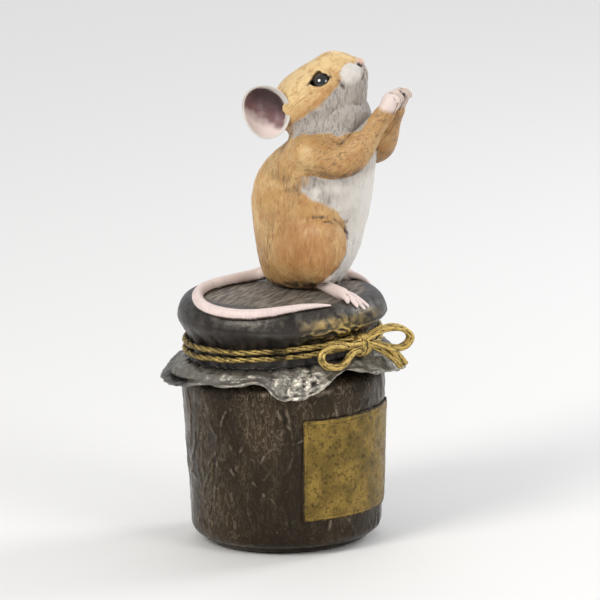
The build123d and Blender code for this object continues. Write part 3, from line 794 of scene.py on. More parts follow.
def cover_coat(look, gold):
    """Dark patina on cast cloth, worn pale on the folds, with a fine weave and a painted highlight on one
    frill panel.
    """
    material, tree, shader, way = coat("cover_patinated")
    aged = weathered(tree, way, 420.0)
    cloud = grain(tree, way, 110.0, 4.0, 0.62)
    flat, frill, gilt = (kept(tree, name) for name in ("flat", "frill", "gilt"))
    slant = (0, 0, math.radians(66))
    turned = grow(tree, "Mapping", {"Vector": way, "Rotation": slant, "Scale": (1, 9, 1)}).outputs[0]
    weave = grain(tree, turned, 210.0, 3.0, 0.6)
    metal = mixed(tree, ranged(tree, cloud, 0.36, 0.66), toned(look.patina, 0.75), toned(look.patina, 1.4))
    metal = mixed(tree, times(tree, flat, ranged(tree, weave, 0.40, 0.62, 0.2, 0.9)), metal, WEAVE_GREY)
    pale = mixed(tree, ranged(tree, cloud, 0.4, 0.62), look.worn, toned(look.worn, 0.55))
    worn = times(tree, frill, ranged(tree, cloud, 0.36, 0.62, 0.25, 0.9))
    rubbed = times(tree, aged["Worn"], ranged(tree, frill, 0, 1, 0.25, 0.9))
    worn = sums(tree, "MAXIMUM", worn, rubbed)
    metal = mixed(tree, worn, metal, pale)
    # Painted highlight: the frill panel near heading 216 is bright on its raised facets.
    panel_highlight = times(tree, times(tree, kept(tree, "panel"), frill), ranged(tree, aged["Height"], 0.4, 0.6))
    metal = mixed(tree, panel_highlight, metal, toned(look.worn, 1.7))
    gilding = times(tree, gilt, ranged(tree, aged["Height"], 0.4, 0.66, 0, 0.7))
    metal = mixed(tree, gilding, metal, toned(gold, 0.6))
    metal = mixed(tree, times(tree, gilt, aged["Worn"]), metal, toned(gold, 1.5))
    metal = mixed(tree, times(tree, aged["Dark"], 0.85), metal, toned(look.patina, 0.2))
    tree.links.new(metal, shader.inputs["Base Color"])
    tree.links.new(ranged(tree, flat, 0, 1, 0.7, 0.2), shader.inputs["Metallic"])
    tree.links.new(
        added(tree, ranged(tree, aged["Rough"], 0, 1, 0.3, 0.44), times(tree, flat, 0.24)),
        shader.inputs["Roughness"],
    )
    drift = grow(tree, "TexNoise", {"Vector": way, "Scale": 260.0}).outputs["Color"]
    drift = grow(tree, "VectorMath", {0: drift, "Scale": 0.003}, operation="SCALE").outputs[0]
    bent = grow(tree, "VectorMath", {0: way, 1: drift}, operation="ADD").outputs[0]
    foil = grow(tree, "TexVoronoi", {"Vector": bent, "Scale": 520.0}).outputs["Distance"]
    height = added(tree, aged["Height"], times(tree, times(tree, weave, flat), 0.5))
    height = added(tree, height, times(tree, times(tree, foil, frill), 1.6))
    embossed(tree, shader, height, 0.5, 0.0004)
    return material


def gold_coat(name, gold, recess, scale, worn, fibre):
    """Aged gold with dark recesses."""
    material, tree, shader, way = coat(name)
    aged = weathered(tree, way, scale)
    cloud = grain(tree, way, scale * 0.3, 4.0, 0.62)
    crackle = used(tree, "swirls", {"Vector": way, "Scale": scale * 1.3})["Line"]
    metal = mixed(tree, ranged(tree, cloud, 0.38, 0.62), toned(gold, 0.75), toned(gold, 1.4))
    metal = mixed(tree, times(tree, crackle, fibre), metal, toned(gold, 0.22))
    metal = mixed(tree, times(tree, aged["Worn"], worn), metal, toned(gold, 1.7))
    dirt = ranged(tree, grain(tree, way, scale * 1.2, 4.0, 0.65), 0.48, 0.66, 0, 0.75)
    metal = mixed(tree, dirt, metal, toned(gold, 0.16))
    # Random tarnish, and on the twine painted shade over headings 100 to 205.
    tarnish_and_shade = times(tree, kept(tree, "dull_and_shaded"), ranged(tree, cloud, 0.3, 0.6, 1.0, 0.45))
    metal = mixed(tree, tarnish_and_shade, metal, toned(gold, 0.1))
    metal = mixed(tree, aged["Dark"], metal, recess)
    tree.links.new(metal, shader.inputs["Base Color"])
    shader.inputs["Metallic"].default_value = 0.75
    tree.links.new(ranged(tree, aged["Rough"], 0, 1, 0.32, 0.52), shader.inputs["Roughness"])
    embossed(tree, shader, sums(tree, "SUBTRACT", aged["Height"], times(tree, crackle, 0.3)), 0.4, 0.0003)
    return material


def plain_coat(name, colour, metallic, low, high, scale):
    """A plain finish with mottled colour and roughness."""
    material, tree, shader, way = coat(name)
    mottle = grain(tree, way, scale, 4.0, 0.65)
    tree.links.new(
        mixed(tree, ranged(tree, mottle, 0.3, 0.7), toned(colour, 0.7), toned(colour, 1.2)),
        shader.inputs["Base Color"],
    )
    tree.links.new(ranged(tree, mottle, 0.3, 0.7, low, high), shader.inputs["Roughness"])
    shader.inputs["Metallic"].default_value = metallic
    embossed(tree, shader, mottle, 0.3, 0.0002)
    return material


def paper_coat(look):
    """Plain pale paper with the faintest tooth."""
    material, tree, shader, way = coat("studio_paper")
    tooth = grain(tree, way, 900.0, 2.0, 0.5)
    tree.links.new(
        mixed(tree, tooth, toned(look.floor, 0.985), look.floor), shader.inputs["Base Color"]
    )
    shader.inputs["Roughness"].default_value = 0.8
    return material


class FIGURINE_OT_jar(bpy.types.Operator):
    """Make the jar's wall with its hand-worked swirls"""

    bl_idname = "figurine.jar"
    bl_label = "Jar"

    def strokes(self, turns, heights):
        """The height of curved brush strokes at headings and heights."""
        dice = np.random.default_rng(41)
        total = np.zeros((len(heights), len(turns)))
        for _ in range(STROKES):
            middle = dice.uniform(0, 2 * math.pi)
            level, bend = dice.uniform(3, 37), dice.uniform(1.2, 8)
            start, span = dice.uniform(0, 360), dice.uniform(30, 95)
            width, rise = dice.uniform(0.26, 0.62), dice.uniform(0.2, 0.9) * dice.choice((1, 1, -0.8))
            across = ((turns - middle + math.pi) % (2 * math.pi) - math.pi)[None, :] * 21.5
            up = (heights[:, None] - level) / 1.5
            angle = np.abs((np.degrees(np.arctan2(up, across)) - start + 180) % 360 - 180)
            ends = ease(span / 2, span / 2 - 18, angle)
            total += rise * ends * np.exp(-(((np.hypot(across, up) - bend) / width) ** 2))
        return np.clip(total, -1.2, 1.5)

    def execute(self, context):
        look = context.scene.figurine_jar
        turns = np.linspace(0, 2 * math.pi, 500, endpoint=False)
        outer = [
            (15.95, 0.4), (16.8, 0.42), (17.6, 0.5), (18.15, 0.8), (18.4, 1.2), (18.6, 1.55), (19.0, 1.9),
        ]
        for angle in np.linspace(20, 90, 8):
            bend = math.radians(angle)
            outer.append((18.0 + 3.15 * math.sin(bend), 4.6 - 3.15 * math.cos(bend)))
        for share in np.linspace(0.02, 1, 140):
            outer.append((21.15 + 1.25 * share, 4.6 + 30.4 * share))
        for angle in np.linspace(12, 90, 8):
            bend = math.radians(angle)
            outer.append((18.6 + 3.8 * math.cos(bend), 35.0 + 5.0 * math.sin(bend)))
        inner = [
            (18.6, 44), (18.6, 51.4), (16.0, 51.4), (16.0, 40), (19.8, 35), (18.3, 5.4), (13.4, 5.4),
            (13.4, 3.0), (15.95, 3.0),
        ]
        profile = np.array(outer + inner + outer[:1])
        sheet = round_sheet(profile[:, :1], profile[:, 1:], turns[None, :])
        flat = sheet.reshape(-1, 3)
        lump = rough(flat, 11.0, 6.2, 2)
        fine = rough(flat, 1.6, 2.9, 2)
        height = look.swirl * (self.strokes(turns, profile[:, 1]).ravel() + 0.22 * fine) + 0.2 * lump
        wall = ease(1.2, 4.0, profile[:, 1]) * (np.arange(len(profile)) < len(outer))
        height = height.reshape(sheet.shape[:2]) * wall[:, None]
        sheet = sheet + sheet_normals(sheet) * height[:, :, None]
        piece = woven("jar_wall", sheet)
        proud = mark_relief(piece, 8, 0.12)[1]
        level = points(piece)[:, 2]
        store(piece, "proud", proud * ease(4.9, 6.6, level) * ease(34.8, 33.2, level))
        finished(piece, ["jar_shell"], "jar_bronze", bronze_coat(look))
        return {"FINISHED"}


class FIGURINE_OT_label(bpy.types.Operator):
    """Make the bare label, uneven at its edges"""

    bl_idname = "figurine.label"
    bl_label = "Label"

    def execute(self, context):
        look = context.scene.figurine_jar
        across, up = np.meshgrid(np.linspace(-1, 1, 151), np.linspace(-1, 1, 121))
        edge = np.stack([across, up, 0 * up], 2).reshape(-1, 3)
        sway = rough(edge * 15, 4.5, 4.4, 2).reshape(across.shape)
        lift = rough(edge * 15, 3.4, 7.7, 3).reshape(across.shape)
        beside = np.maximum(np.abs(across) - 0.94, 0) / 0.06
        beyond = np.maximum(np.abs(up) - 0.93, 0) / 0.07
        corner = np.minimum(1, np.hypot(beside, beyond))
        width = LABEL_HALF_WIDTH * across * (1 - 0.008 * corner) + 0.28 * sway * ease(0.75, 1, np.abs(across))
        height = LABEL_HALF_HEIGHT * up * (1 - 0.012 * corner) + 0.25 * sway * ease(0.75, 1, np.abs(up))
        height = LABEL_Z + height
        border = np.maximum(ease(0.93, 0.985, np.abs(across)), ease(0.92, 0.98, np.abs(up)))
        groove = bell(np.abs(across) - 0.925, 0.012) + bell(np.abs(up) - 0.905, 0.015)
        wall = 20.85 + (height - 0.4) * 1.55 / 34.6
        radius = wall + 0.62 + 0.1 * lift - 0.12 * border - 0.05 * np.clip(groove, 0, 1)
        turn = math.radians(FRONT) + width / wall
        sheet = np.stack([radius * np.cos(turn), radius * np.sin(turn), height], 2)
        piece = woven("label_face", sheet, around=False)
        applied(piece, "SOLIDIFY", thickness=0.6, offset=-1)
        hollow = mark_relief(piece, 6, 0.05)[0]
        where = points(piece)
        aside = (np.arctan2(where[:, 1], where[:, 0]) - math.radians(FRONT)) * 21.7 / LABEL_HALF_WIDTH
        edge = np.maximum(np.abs(aside), np.abs(where[:, 2] - LABEL_Z) / LABEL_HALF_HEIGHT)
        store(piece, "hollow", np.maximum(hollow, 0.8 * ease(0.93, 1.0, edge)))
        gold = gold_coat("label_aged_gold", look.label, LABEL_RECESS, 760.0, 0.6, 0.85)
        finished(piece, ["label_plate"], "label_gold", gold)
        return {"FINISHED"}


class FIGURINE_OT_cover(bpy.types.Operator):
    """Make the cloth cover with its rolled edge, pleats and frill"""

    bl_idname = "figurine.cover"
    bl_label = "Cloth cover"

    def execute(self, context):
        look = context.scene.figurine_cover
        turns = np.linspace(0, -2 * math.pi, 400, endpoint=False)
        headings = np.degrees(turns) % 360
        hem = np.array(HEM)
        soft = np.exp(-0.5 * (np.arange(-9, 10) / 2.6) ** 2)

        def around(values):
            level = np.interp(np.degrees(turns), hem[:, 0], values, period=360)
            return np.convolve(np.concatenate([level[-9:], level, level[:9]]), soft / soft.sum(), "valid")

        hem_z, hem_r = around(hem[:, 1]), around(hem[:, 2])
        tie = TIE_Z + TIE_RISE * np.cos(turns - math.radians(TIE_HIGH))
        curl = bell(apart(headings, 131), 19)
        rows, flat, frill = [], [], []

        def row(radius, height, on_disc=0.0, on_frill=0.0):
            rows.append(np.stack([np.broadcast_to(part, turns.shape) for part in (radius, height)], 1))
            flat.append(on_disc)
            frill.append(on_frill)

        for share in np.linspace(0, 1, 26):
            row(ROLL_RADIUS * share, COVER_Z, 1 - ease(0.8, 1.0, share))
        for angle in np.radians(np.linspace(0, 90, 15)[1:]):
            row(ROLL_RADIUS + ROLL * math.sin(angle), ROLL_Z + ROLL * math.cos(angle))
        for share in np.linspace(0, 1, 19)[1:]:
            bulge = 0.35 * math.sin(math.pi * share) * (1 - share)
            draw = (COVER_RADIUS - WAIST_RADIUS) * ease(0, 1, share)
            row(COVER_RADIUS + bulge - draw, ROLL_Z + (tie + TIE_BAND - ROLL_Z) * share)
        for share in np.linspace(0, 1, 10)[1:]:
            row(WAIST_RADIUS, tie + TIE_BAND - (TIE_BAND + FRILL_START) * share)
        outer_start = len(rows)
        for share in np.linspace(0, 1, 41)[1:]:
            flare = np.interp(share, FRILL_FALL, FRILL_FLARE)
            dip = curl * (-1.7 * bell(share - 0.8, 0.11))
            row(
                WAIST_RADIUS + (hem_r - WAIST_RADIUS) * flare + dip,
                tie - FRILL_START + (hem_z - tie + FRILL_START) * share,
                0, ease(0.05, 0.45, share),
            )
        last = rows[-1]
        row(last[:, 0] + 0.05, last[:, 1] - 0.3, 0, 1)
        row(last[:, 0] - 0.45, last[:, 1] - 0.42, 0, 1)
        row(last[:, 0] - 0.85, last[:, 1] - 0.1, 0, 0.6)
        for index in range(len(rows) - 6, outer_start, -3):
            row(np.maximum(rows[index][:, 0] - 0.95, 19.0), rows[index][:, 1] + 0.1)
        row(18.85, tie - 1)
        row(18.85, 51.4)
        row(9, 51.4)
        row(0, 51.4)
        grid = np.array(rows)
        sheet = round_sheet(grid[:, :, 0], grid[:, :, 1], turns[None, :])
        flat, frill = np.array(flat), np.array(frill)
        outside = np.arange(len(rows)) < outer_start + 42
        spots = sheet.reshape(-1, 3)

        def over(spots, size, seed, octaves=2):
            return rough(spots, size, seed, octaves).reshape(sheet.shape[:2])

        ring = np.stack([21 * np.cos(turns), 21 * np.sin(turns), 0 * turns], 1)
        pleats = rough(ring, 2.1, 3.3, 2)[None, :] * 0.7 + over(spots * (1, 1, 0.25), 3.0, 9.1) * 0.6
        level = np.arange(len(rows))
        gather = ease(40, 56, level) * ease(outer_start + 26, outer_start + 2, level)
        creases = 0.5 - 2 * np.abs(over(spots * (0.8, 0.8, 1.6), 2.6, 5.5))
        facets = over(spots, 4.2, 1.9)
        panel = bell(apart(headings, 217), 11)[None, :]
        knotted = bell(apart(headings, 240), 20)[None, :]
        band = (ease(36, 42, level) * ease(60, 54, level))[:, None]
        height = look.pleat * pleats * gather[:, None]
        folds = np.abs(over(spots * (1, 1, 0.6), 3.4, 5.5, 1))
        crisp = np.abs(over(spots @ np.array(((1, 0, 0), (0, 1, 0.5), (0.6, 0.6, 0.5))), 2.3, 2.7))
        on_disc, on_frill = flat[:, None], frill[:, None]
        crumpled = 0.55 * facets + 1.2 * (0.3 - folds) + 2.0 * panel * (0.25 - crisp)
        height += look.crumple * crumpled * on_frill
        height += 0.6 * creases * knotted * band
        height += 0.05 * facets * (1 - on_frill) + 0.10 * facets * (1 - on_disc) * (1 - on_frill)
        height *= outside[:, None] * ease(0, 3, level)[:, None]
        sheet = sheet + sheet_normals(sheet) * height[:, :, None]
        piece = woven("cover_cloth", sheet)
        hollow = mark_relief(piece, 10, 0.2)[0]
        where = points(piece)
        reach = np.hypot(where[:, 0], where[:, 1])
        heading = np.degrees(np.arctan2(where[:, 1], where[:, 0])) % 360
        # Painted shade in the fold above the curled hem near heading 130, kept as 'hollow'.
        fold_shade = bell(heading - 130, 19) * bell(where[:, 2] - 38.2, 1.0) * ease(21.5, 22.5, reach)
        store(piece, "hollow", np.maximum(hollow, fold_shade))
        # The frill panel that gets a painted highlight.
        store(piece, "panel", bell(heading - 216, 11))
        on_top = where[:, 2] > COVER_Z - 0.6
        store(piece, "flat", on_top * ease(ROLL_RADIUS + 0.6, ROLL_RADIUS - 1.2, reach))
        tie_here = TIE_Z + TIE_RISE * np.cos(np.radians(heading - TIE_HIGH))
        store(piece, "frill", ease(tie_here - 1.4, tie_here - 3.4, where[:, 2]) * ease(20.6, 22.5, reach))
        gilt = bell(apart(heading, 243), 22) * ease(46, 48.5, where[:, 2]) * ease(54.5, 52, where[:, 2])
        store(piece, "gilt", gilt)
        finished(piece, ["cloth_cover"], "cover_patina", cover_coat(look, context.scene.figurine_twine.gold))
        return {"FINISHED"}


def knot_point(along, out, up):
    """A point from the knot: along the turn, outwards and up."""
    return KNOT + KNOT_ALONG * along + KNOT_OUT * out + Vector((0, 0, up))


class FIGURINE_OT_twine(bpy.types.Operator):
    """Wind the twisted twine round the cover"""

    bl_idname = "figurine.twine"
    bl_label = "Twine"

    def execute(self, context):
        look = context.scene.figurine_twine
        line = []
        for turned in np.arange(4, 717, 4.0):
            turn = math.radians(FRONT + turned)
            wander = noise.noise(Vector((turned / 41, 3.3, 0)))
            quiver = noise.noise(Vector((turned / 13, 8.1, 2)))
            spread = 1.8 * (turned / 360 - 1) + 0.5 * wander + 0.2 * quiver
            radius = WAIST_RADIUS + 0.72 + 0.12 * noise.noise(Vector((turned / 23, 0, 7.1)))
            rise = TIE_Z + TIE_RISE * math.cos(turn - math.radians(TIE_HIGH)) + spread
            line.append((radius * math.cos(turn), radius * math.sin(turn), rise))
        piece = rope("twine_wrap", route_line(line, 2), look.diameter, look.lay)
        mark_relief(piece, 3, 0.07)
        gold = gold_coat("twine_aged_gold", look.gold, look.recess, 700.0, 0.9, 0.6)
        where = points(piece)
        # Painted shade on the face of the twine that lies against the cloth, kept as 'hollow' with the dark
        # between the plies.
        inward = ease(WAIST_RADIUS + 0.55, WAIST_RADIUS + 0.1, np.hypot(where[:, 0], where[:, 1]))
        store(piece, "hollow", np.maximum(inward, valley(piece, look)))
        heading = np.degrees(np.arctan2(where[:, 1], where[:, 0])) % 360
        patch = ease(-0.1, 0.4, rough(where, 3.0, 5.2, 2))
        # Painted shade over headings 100 to 205, laid over random tarnish patches.
        shaded_side = ease(242, 205, heading) * ease(60, 100, heading)
        store(piece, "dull_and_shaded", np.clip(shaded_side * (0.4 + 0.65 * patch) + 0.5 * patch, 0, 1))
        finished(piece, ["twine"], "twine_gold", gold)
        return {"FINISHED"}


def valley(piece, look):
    """How deep the points of a cord lie between its plies, from 0 to 1."""
    where, way = points(piece), normals(piece)
    tree = BVHTree.FromPolygons([tuple(p) for p in where], [tuple(f.vertices) for f in piece.data.polygons])
    depth = np.zeros(len(where))
    for index, (spot, out) in enumerate(zip(where, way)):
        start = Vector(spot) + Vector(out) * 0.03
        hit = tree.ray_cast(start, Vector(out), look.diameter * 0.6)
        depth[index] = 1.0 if hit[0] is not None else 0.0
    return depth


class FIGURINE_OT_bow(bpy.types.Operator):
    """Tie the bow: its knot, two loops and two tails"""

    bl_idname = "figurine.bow"
    bl_label = "Bow"

    def execute(self, context):
        look = context.scene.figurine_twine
        gold = bpy.data.materials["twine_aged_gold"]
        drop = [
            (-0.4, 0.8, 0.9), (-2.6, 0.9, 0.7), (-4.6, 0.9, 0.4), (-6.6, 0.6, 1.0), (-9.4, -0.2, 1.3),
            (-11.9, -1.1, 0.4), (-12.6, -1.1, -1.2), (-11.7, -0.2, -2.9), (-9.4, 0.9, -3.6),
            (-7.0, 1.4, -2.8), (-5.5, 1.4, -1.4), (-4.2, 1.2, -0.6), (-2.4, 1.1, -0.4), (-0.4, 0.9, -0.3),
        ]
        side = [
            (0.6, 1.0), (2.8, 2.5), (5.6, 3.5), (8.6, 3.2), (10.9, 1.9), (11.4, 0.4), (10.2, -1.2),
            (7.8, -1.6), (5.0, -0.8), (2.4, 0.2), (0.6, 0.4),
        ]
        swing = KNOT_ALONG * math.cos(math.radians(32)) + KNOT_OUT * math.sin(math.radians(32))
        lean = KNOT_ALONG * math.cos(math.radians(15)) + KNOT_OUT * math.sin(math.radians(15))

        def along(way, rows, out=0.0):
            return [KNOT + way * reach + KNOT_OUT * out + Vector((0, 0, up)) for reach, up in rows]

        swing_side = swing.cross(Vector((0, 0, 1)))
        band = [[p + swing_side * shift for p in along(swing, side, 0.2)] for shift in (-1.0, 0.0, 1.0)]
        near_tail = along(lean, [(0.5, -0.2), (3.4, -0.9), (6.6, -3.0), (8.6, -4.9), (10.2, -6.4)], 0.3)
        far_tail = along(lean, [(0.5, 0.0), (4.6, -0.4), (8.0, -2.2), (10.2, -4.3), (11.7, -6.0)], -0.2)
        cords = (
            ("bow_drop_loop", "bow_loop_left", [[knot_point(*p) for p in drop]], 1.75),
            ("bow_side_loop", "bow_loop_right", band, 1.4),
            ("bow_near_tail", "bow_tail_left", [near_tail], 1.35),
            ("bow_far_tail", "bow_tail_right", [far_tail], 1.9),
        )
        for name, node, routes, diameter in cords:
            strands = [
                rope(name, route_line([tuple(p) for p in route], 8), diameter, look.lay * 2.2, 0.3)
                for route in routes
            ]
            piece = joined(name, strands)
            mark_relief(piece, 3, 0.07)
            store(piece, "hollow", valley(piece, look))
            finished(piece, [node], "twine_gold", gold)
        wraps = []
        for shift, tilt, wide in ((-0.85, 0.35, 1.5), (0.15, -0.1, 1.7), (1.0, -0.5, 1.45)):
            ring = []
            for angle in np.radians(np.arange(0, 360, 30)):
                up = 2.15 * wide / 1.7 * math.sin(angle)
                out = 0.15 + 1.55 * wide / 1.7 * math.cos(angle)
                ring.append(tuple(knot_point(shift + tilt * up / 2, out, up)))
            wraps.append(rope("bow_tied_knot", route_line(ring, 4, closed=True), 1.6, look.lay * 2, 0.3))
        core = ball(knot_point(0, 0.1, 0), (1.5, 1.2, 1.8))
        piece = joined("bow_tied_knot", wraps + [core])
        mark_relief(piece, 3, 0.07)
        store(piece, "hollow", valley(piece, look))
        finished(piece, ["bow_knot"], "twine_gold", gold)
        return {"FINISHED"}


def mouse_point(left, forward, up, side=1):
    """A point of the mouse from shares of its height."""
    across, ahead, rise = side * left * MOUSE_HEIGHT, forward * MOUSE_HEIGHT, up * MOUSE_HEIGHT
    return Vector((MIDLINE + across, -ahead, COVER_Z + rise))


def head_point(lateral, along, up):
    """A point in the frame of the head."""
    return HEAD_MIDDLE + Vector((lateral, 0, 0)) + HEAD_AXIS * along + HEAD_UP * up


def eye_facing(side):
    """The way an eye looks."""
    return (Vector((side * 0.88, 0, 0)) + HEAD_AXIS * 0.32 + HEAD_UP * 0.32).normalized()


def eye_point(side):
    """The middle of an eye's opening."""
    lateral, along, up = EYE
    return head_point(side * lateral, along, up)


def mound(where, middle, size):
    """How near points are to a middle, from 0 to 1."""
    return bell(np.linalg.norm(where - np.array(middle), axis=1), size)


def near_line(where, line):
    """The distance of each point to a broken line."""
    best = np.full(len(where), 1e9)
    for start, end in zip(line, line[1:]):
        start, way = np.array(start), np.array(end) - np.array(start)
        share = np.clip(((where - start) @ way) / way.dot(way), 0, 1)
        best = np.minimum(best, np.linalg.norm(where - start - share[:, None] * way, axis=1))
    return best


class FIGURINE_OT_mouse(bpy.types.Operator):
    """Sculpt the mouse's skin and part it into torso, head and arms"""

    bl_idname = "figurine.mouse"
    bl_label = "Mouse body"

    nodes = ("mouse_torso", "mouse_head", "arm_left", "arm_right")

    def near_solids(self, where):
        """The distance of each point to each of the four solids."""
        rows = []
        for node in self.nodes:
            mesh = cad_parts[node].data
            corners, faces = [v.co / MM for v in mesh.vertices], [tuple(f.vertices) for f in mesh.polygons]
            tree = BVHTree.FromPolygons(corners, faces)
            rows.append([tree.find_nearest(Vector(p))[3] for p in where])
        return np.array(rows)

    def zones(self, gap):
        """The distances to the torso, to the head and to the nearer arm."""
        return gap[0], gap[1], np.minimum(gap[2], gap[3])

    def sculpt(self, piece):
        """Blend the joints and work in the eyes, muzzle, paws and fur."""
        pairs = links(piece)
        where = relaxed(points(piece), pairs, 4)
        gap = self.near_solids(where)
        torso, head, arms = self.zones(gap)
        second = np.sort(gap, 0)[1]
        neck = ease(3.2, 0.4, np.maximum(torso, head)) * (arms > 0.6)
        rear = ease(-15.5, -10, where[:, 1])
        behind = ease(5.0, 1.0, second) * rear
        shoulder = ease(9.0, 4.0, second) * rear * ease(2.0, 0.5, arms)
        thigh = ease(-8.5, -3.5, where[:, 1]) * ease(76, 72, where[:, 2])
        where = relaxed(where, pairs, 60, np.clip(neck + behind + thigh, 0, 1)[:, None])
        where = relaxed(where, pairs, 190, np.clip(behind + shoulder + thigh, 0, 1)[:, None])
        where = self.reshaped(where, gap)
        place(piece, where)
        out = normals(piece)
        push = np.zeros(len(where))
        # Dark painted lines at the eye corners; painted shade round the eyes, in the mouth and nostrils and
        # between the clasped fingers.
        lines_and_recess_shade = np.zeros(len(where))
        for side in SIDES.values():
            facing = eye_facing(side)
            long_way = HEAD_AXIS * 0.97 - HEAD_UP * 0.26
            long_way = (long_way - facing * long_way.dot(facing)).normalized()
            short_way = facing.cross(long_way)
            local = where - np.array(eye_point(side))
            a, b, c = local @ np.array(long_way), local @ np.array(short_way), local @ np.array(facing)
            lid = EYE_HALF_HEIGHT * np.clip(1 - (a / EYE_HALF_LENGTH) ** 2, 0.02, 1) ** 0.65
            share = np.maximum(np.abs(b) / lid, np.abs(a) / EYE_HALF_LENGTH)
            near = (np.abs(c) < 3.5) & (np.abs(a) < 4.5) & (np.abs(b) < 4)
            push -= near * 1.2 * ease(1.06, 0.8, share)
            push += near * 0.2 * bell(np.hypot(a / 2.9, b / 2.0) - 1, 0.26) * (share > 1.0)
            lines_and_recess_shade = np.maximum(lines_and_recess_shade, near * ease(1.3, 1.06, share))
            corner = np.stack([a, b, 0 * a], 1)
            for line in ([(-1.9, 0.0, 0), (-2.7, 0.4 * side, 0)], [(1.9, 0.0, 0), (2.4, -0.2 * side, 0)]):
                lines_and_recess_shade = np.maximum(lines_and_recess_shade, near * 0.7 * ease(0.5, 0.1, near_line(corner, line)))
            slit = bell(near_line(where, [head_point(side * x, y, z) for x, y, z in MOUTH]), 0.38)
            push -= 0.42 * slit
            lines_and_recess_shade = np.maximum(lines_and_recess_shade, 0.55 * ease(0.3, 0.85, slit))
            nostril = mound(where, head_point(side * 0.95, 11.4, 0.2), 0.45)
            push -= 0.5 * nostril
            lines_and_recess_shade = np.maximum(lines_and_recess_shade, 0.95 * ease(0.3, 0.75, nostril))
            push += 0.45 * mound(where, head_point(side * 3.5, 9.3, -0.7), 2.1)
            push += 0.2 * mound(where, head_point(side * 4.4, 4.0, 6.0), 1.6)
        nose = mound(where, head_point(0, 11.6, 0.4), 1.25)
        push += 0.25 * nose
        clasp, gaps = self.fingers(where)
        push -= 0.9 * clasp + 0.16 * gaps
        lines_and_recess_shade = np.maximum(lines_and_recess_shade, np.maximum(0.95 * clasp, 0.42 * gaps))
        where = where + out * push[:, None]
        crisp = ((relaxed(where, pairs, 6) - where) * out).sum(1)
        where = where - out * np.clip(1.1 * crisp, -0.16, 0.2)[:, None]
        on_head, on_arm = head < np.minimum(torso, arms), arms < np.minimum(torso, head)
        turned = where.copy()
        combed = ((on_head, HEAD_AXIS), (on_arm, (0, -0.7, 0.71)), (~on_head & ~on_arm, (0, 0.15, 0.99)))
        for mask, axis in combed:
            axis = np.array(axis)
            turned[mask] -= 0.78 * (turned[mask] @ axis)[:, None] * axis
        tufts = rough(turned, 0.75, 2.2, 2)
        locks = rough(turned, 2.0, 8.1, 2)
        bald = self.paws(where) + nose
        where = where + out * ((0.09 * tufts + 0.10 * locks) * (1 - np.clip(bald + lines_and_recess_shade, 0, 1)))[:, None]
        place(piece, where)
        self.paint(piece, where, gap, lines_and_recess_shade, nose)

    def reshaped(self, where, gap):
        """Shorten the snout, draw back the haunches' front and draw in the clasped paws."""
        torso, head, arms = self.zones(gap)
        local = where - np.array(HEAD_MIDDLE)
        on_head = ease(0.5, -0.5, head - np.minimum(torso, arms))
        back = 2.1 * on_head * ease(3.0, 10.0, local @ np.array(HEAD_AXIS))
        where = where + back[:, None] * np.array((0, 1, 0))
        haunch = ease(3.0, 5.0, np.abs(where[:, 0] - MIDLINE))
        haunch = haunch * ease(75, 71, where[:, 2]) * ease(-11, -17, where[:, 1])
        low = 1.4 + 1.6 * ease(64, 58, where[:, 2])
        where = where + (haunch * low)[:, None] * np.array((0, 1, 0))
        away = where - np.array((MIDLINE, -25.6, 98.6))
        return where - self.paws(where)[:, None] * away * (0.06, 0.17, 0.26)

    def paws(self, where, start=-0.4):
        """How far each point is within the bare paws, from 0 to 1."""
        wrist = np.array(mouse_point(0, 0.452, 0.752))
        way = np.array(Vector((0, -0.35, 0.94)).normalized())
        return ease(start, start + 1.4, (where - wrist) @ way) * ease(-19.5, -21.5, where[:, 1])

    def fingers(self, where):
        """How far each point is in the hollow between the paws, and between fingers, from 0 to 1."""
        aside = np.abs(where[:, 0] - MIDLINE)
        ahead = ease(-25.6, -26.6, where[:, 1])
        level = ease(96.0, 97.0, where[:, 2]) * ease(101.4, 100.4, where[:, 2])
        hollow = ease(1.5, 0.6, aside) * ahead * level
        row = (aside - FINGER_START) / FINGER_STEP
        lines = np.abs(row - np.clip(np.round(row), 0, 2)) * FINGER_STEP
        gaps = ease(0.3, 0.08, lines) * ease(-24.4, -25.6, where[:, 1]) * ease(95.4, 96.4, where[:, 2])
        return hollow, gaps * (1 - hollow) * self.paws(where)

    def paint(self, piece, where, gap, lines_and_recess_shade, nose):
        """Keep the painted zones: crown, haunch, belly, throat, paws and nose, and painted shadows under the
        arm, round the seat, along the haunch's edge and in the creases.
        """
        local = where - np.array(HEAD_MIDDLE)
        lateral, along, up = local[:, 0], local @ np.array(HEAD_AXIS), local @ np.array(HEAD_UP)
        torso, head, arms = self.zones(gap)
        on_head = ease(0.8, 0.0, head - np.minimum(torso, arms))
        on_arm = ease(0.3, -0.3, arms - np.minimum(torso, head))
        on_torso = np.clip(1 - on_head - on_arm, 0, 1)
        wave = rough(where, 3.2, 4.1, 2)
        fine = rough(where, 1.1, 6.6, 2)
        border = np.interp(along, (-6.1, -2.8, 1.1, 4.0, 6.6, 8.6), (-1.4, -2.2, -2.5, -1.8, -0.8, 0.7))
        under = ease(0.9, -0.9, up - border + 0.55 * wave + 0.25 * fine)
        under = under * ease(-2.0, -5.5, where[:, 1] + wave)
        seam = on_head * bell(up - border + 0.5 * wave, 1.0)
        seam = seam * ease(9.0, 6.5, along) * ease(-1.0, -5.5, where[:, 1])
        pad = (np.abs(lateral) - 3.2) ** 2 + ((along - 9.7) / 1.1) ** 2 + (up + 0.5) ** 2
        pad = ease(3.0, 1.7, np.sqrt(pad))
        centre_y = np.interp(where[:, 2], [55, 65, 75, 84, 92], [-2.3, -3.6, -5.2, -8.0, -10.1])
        angle = np.abs(np.degrees(np.arctan2(where[:, 0] - MIDLINE, -(where[:, 1] - centre_y))))
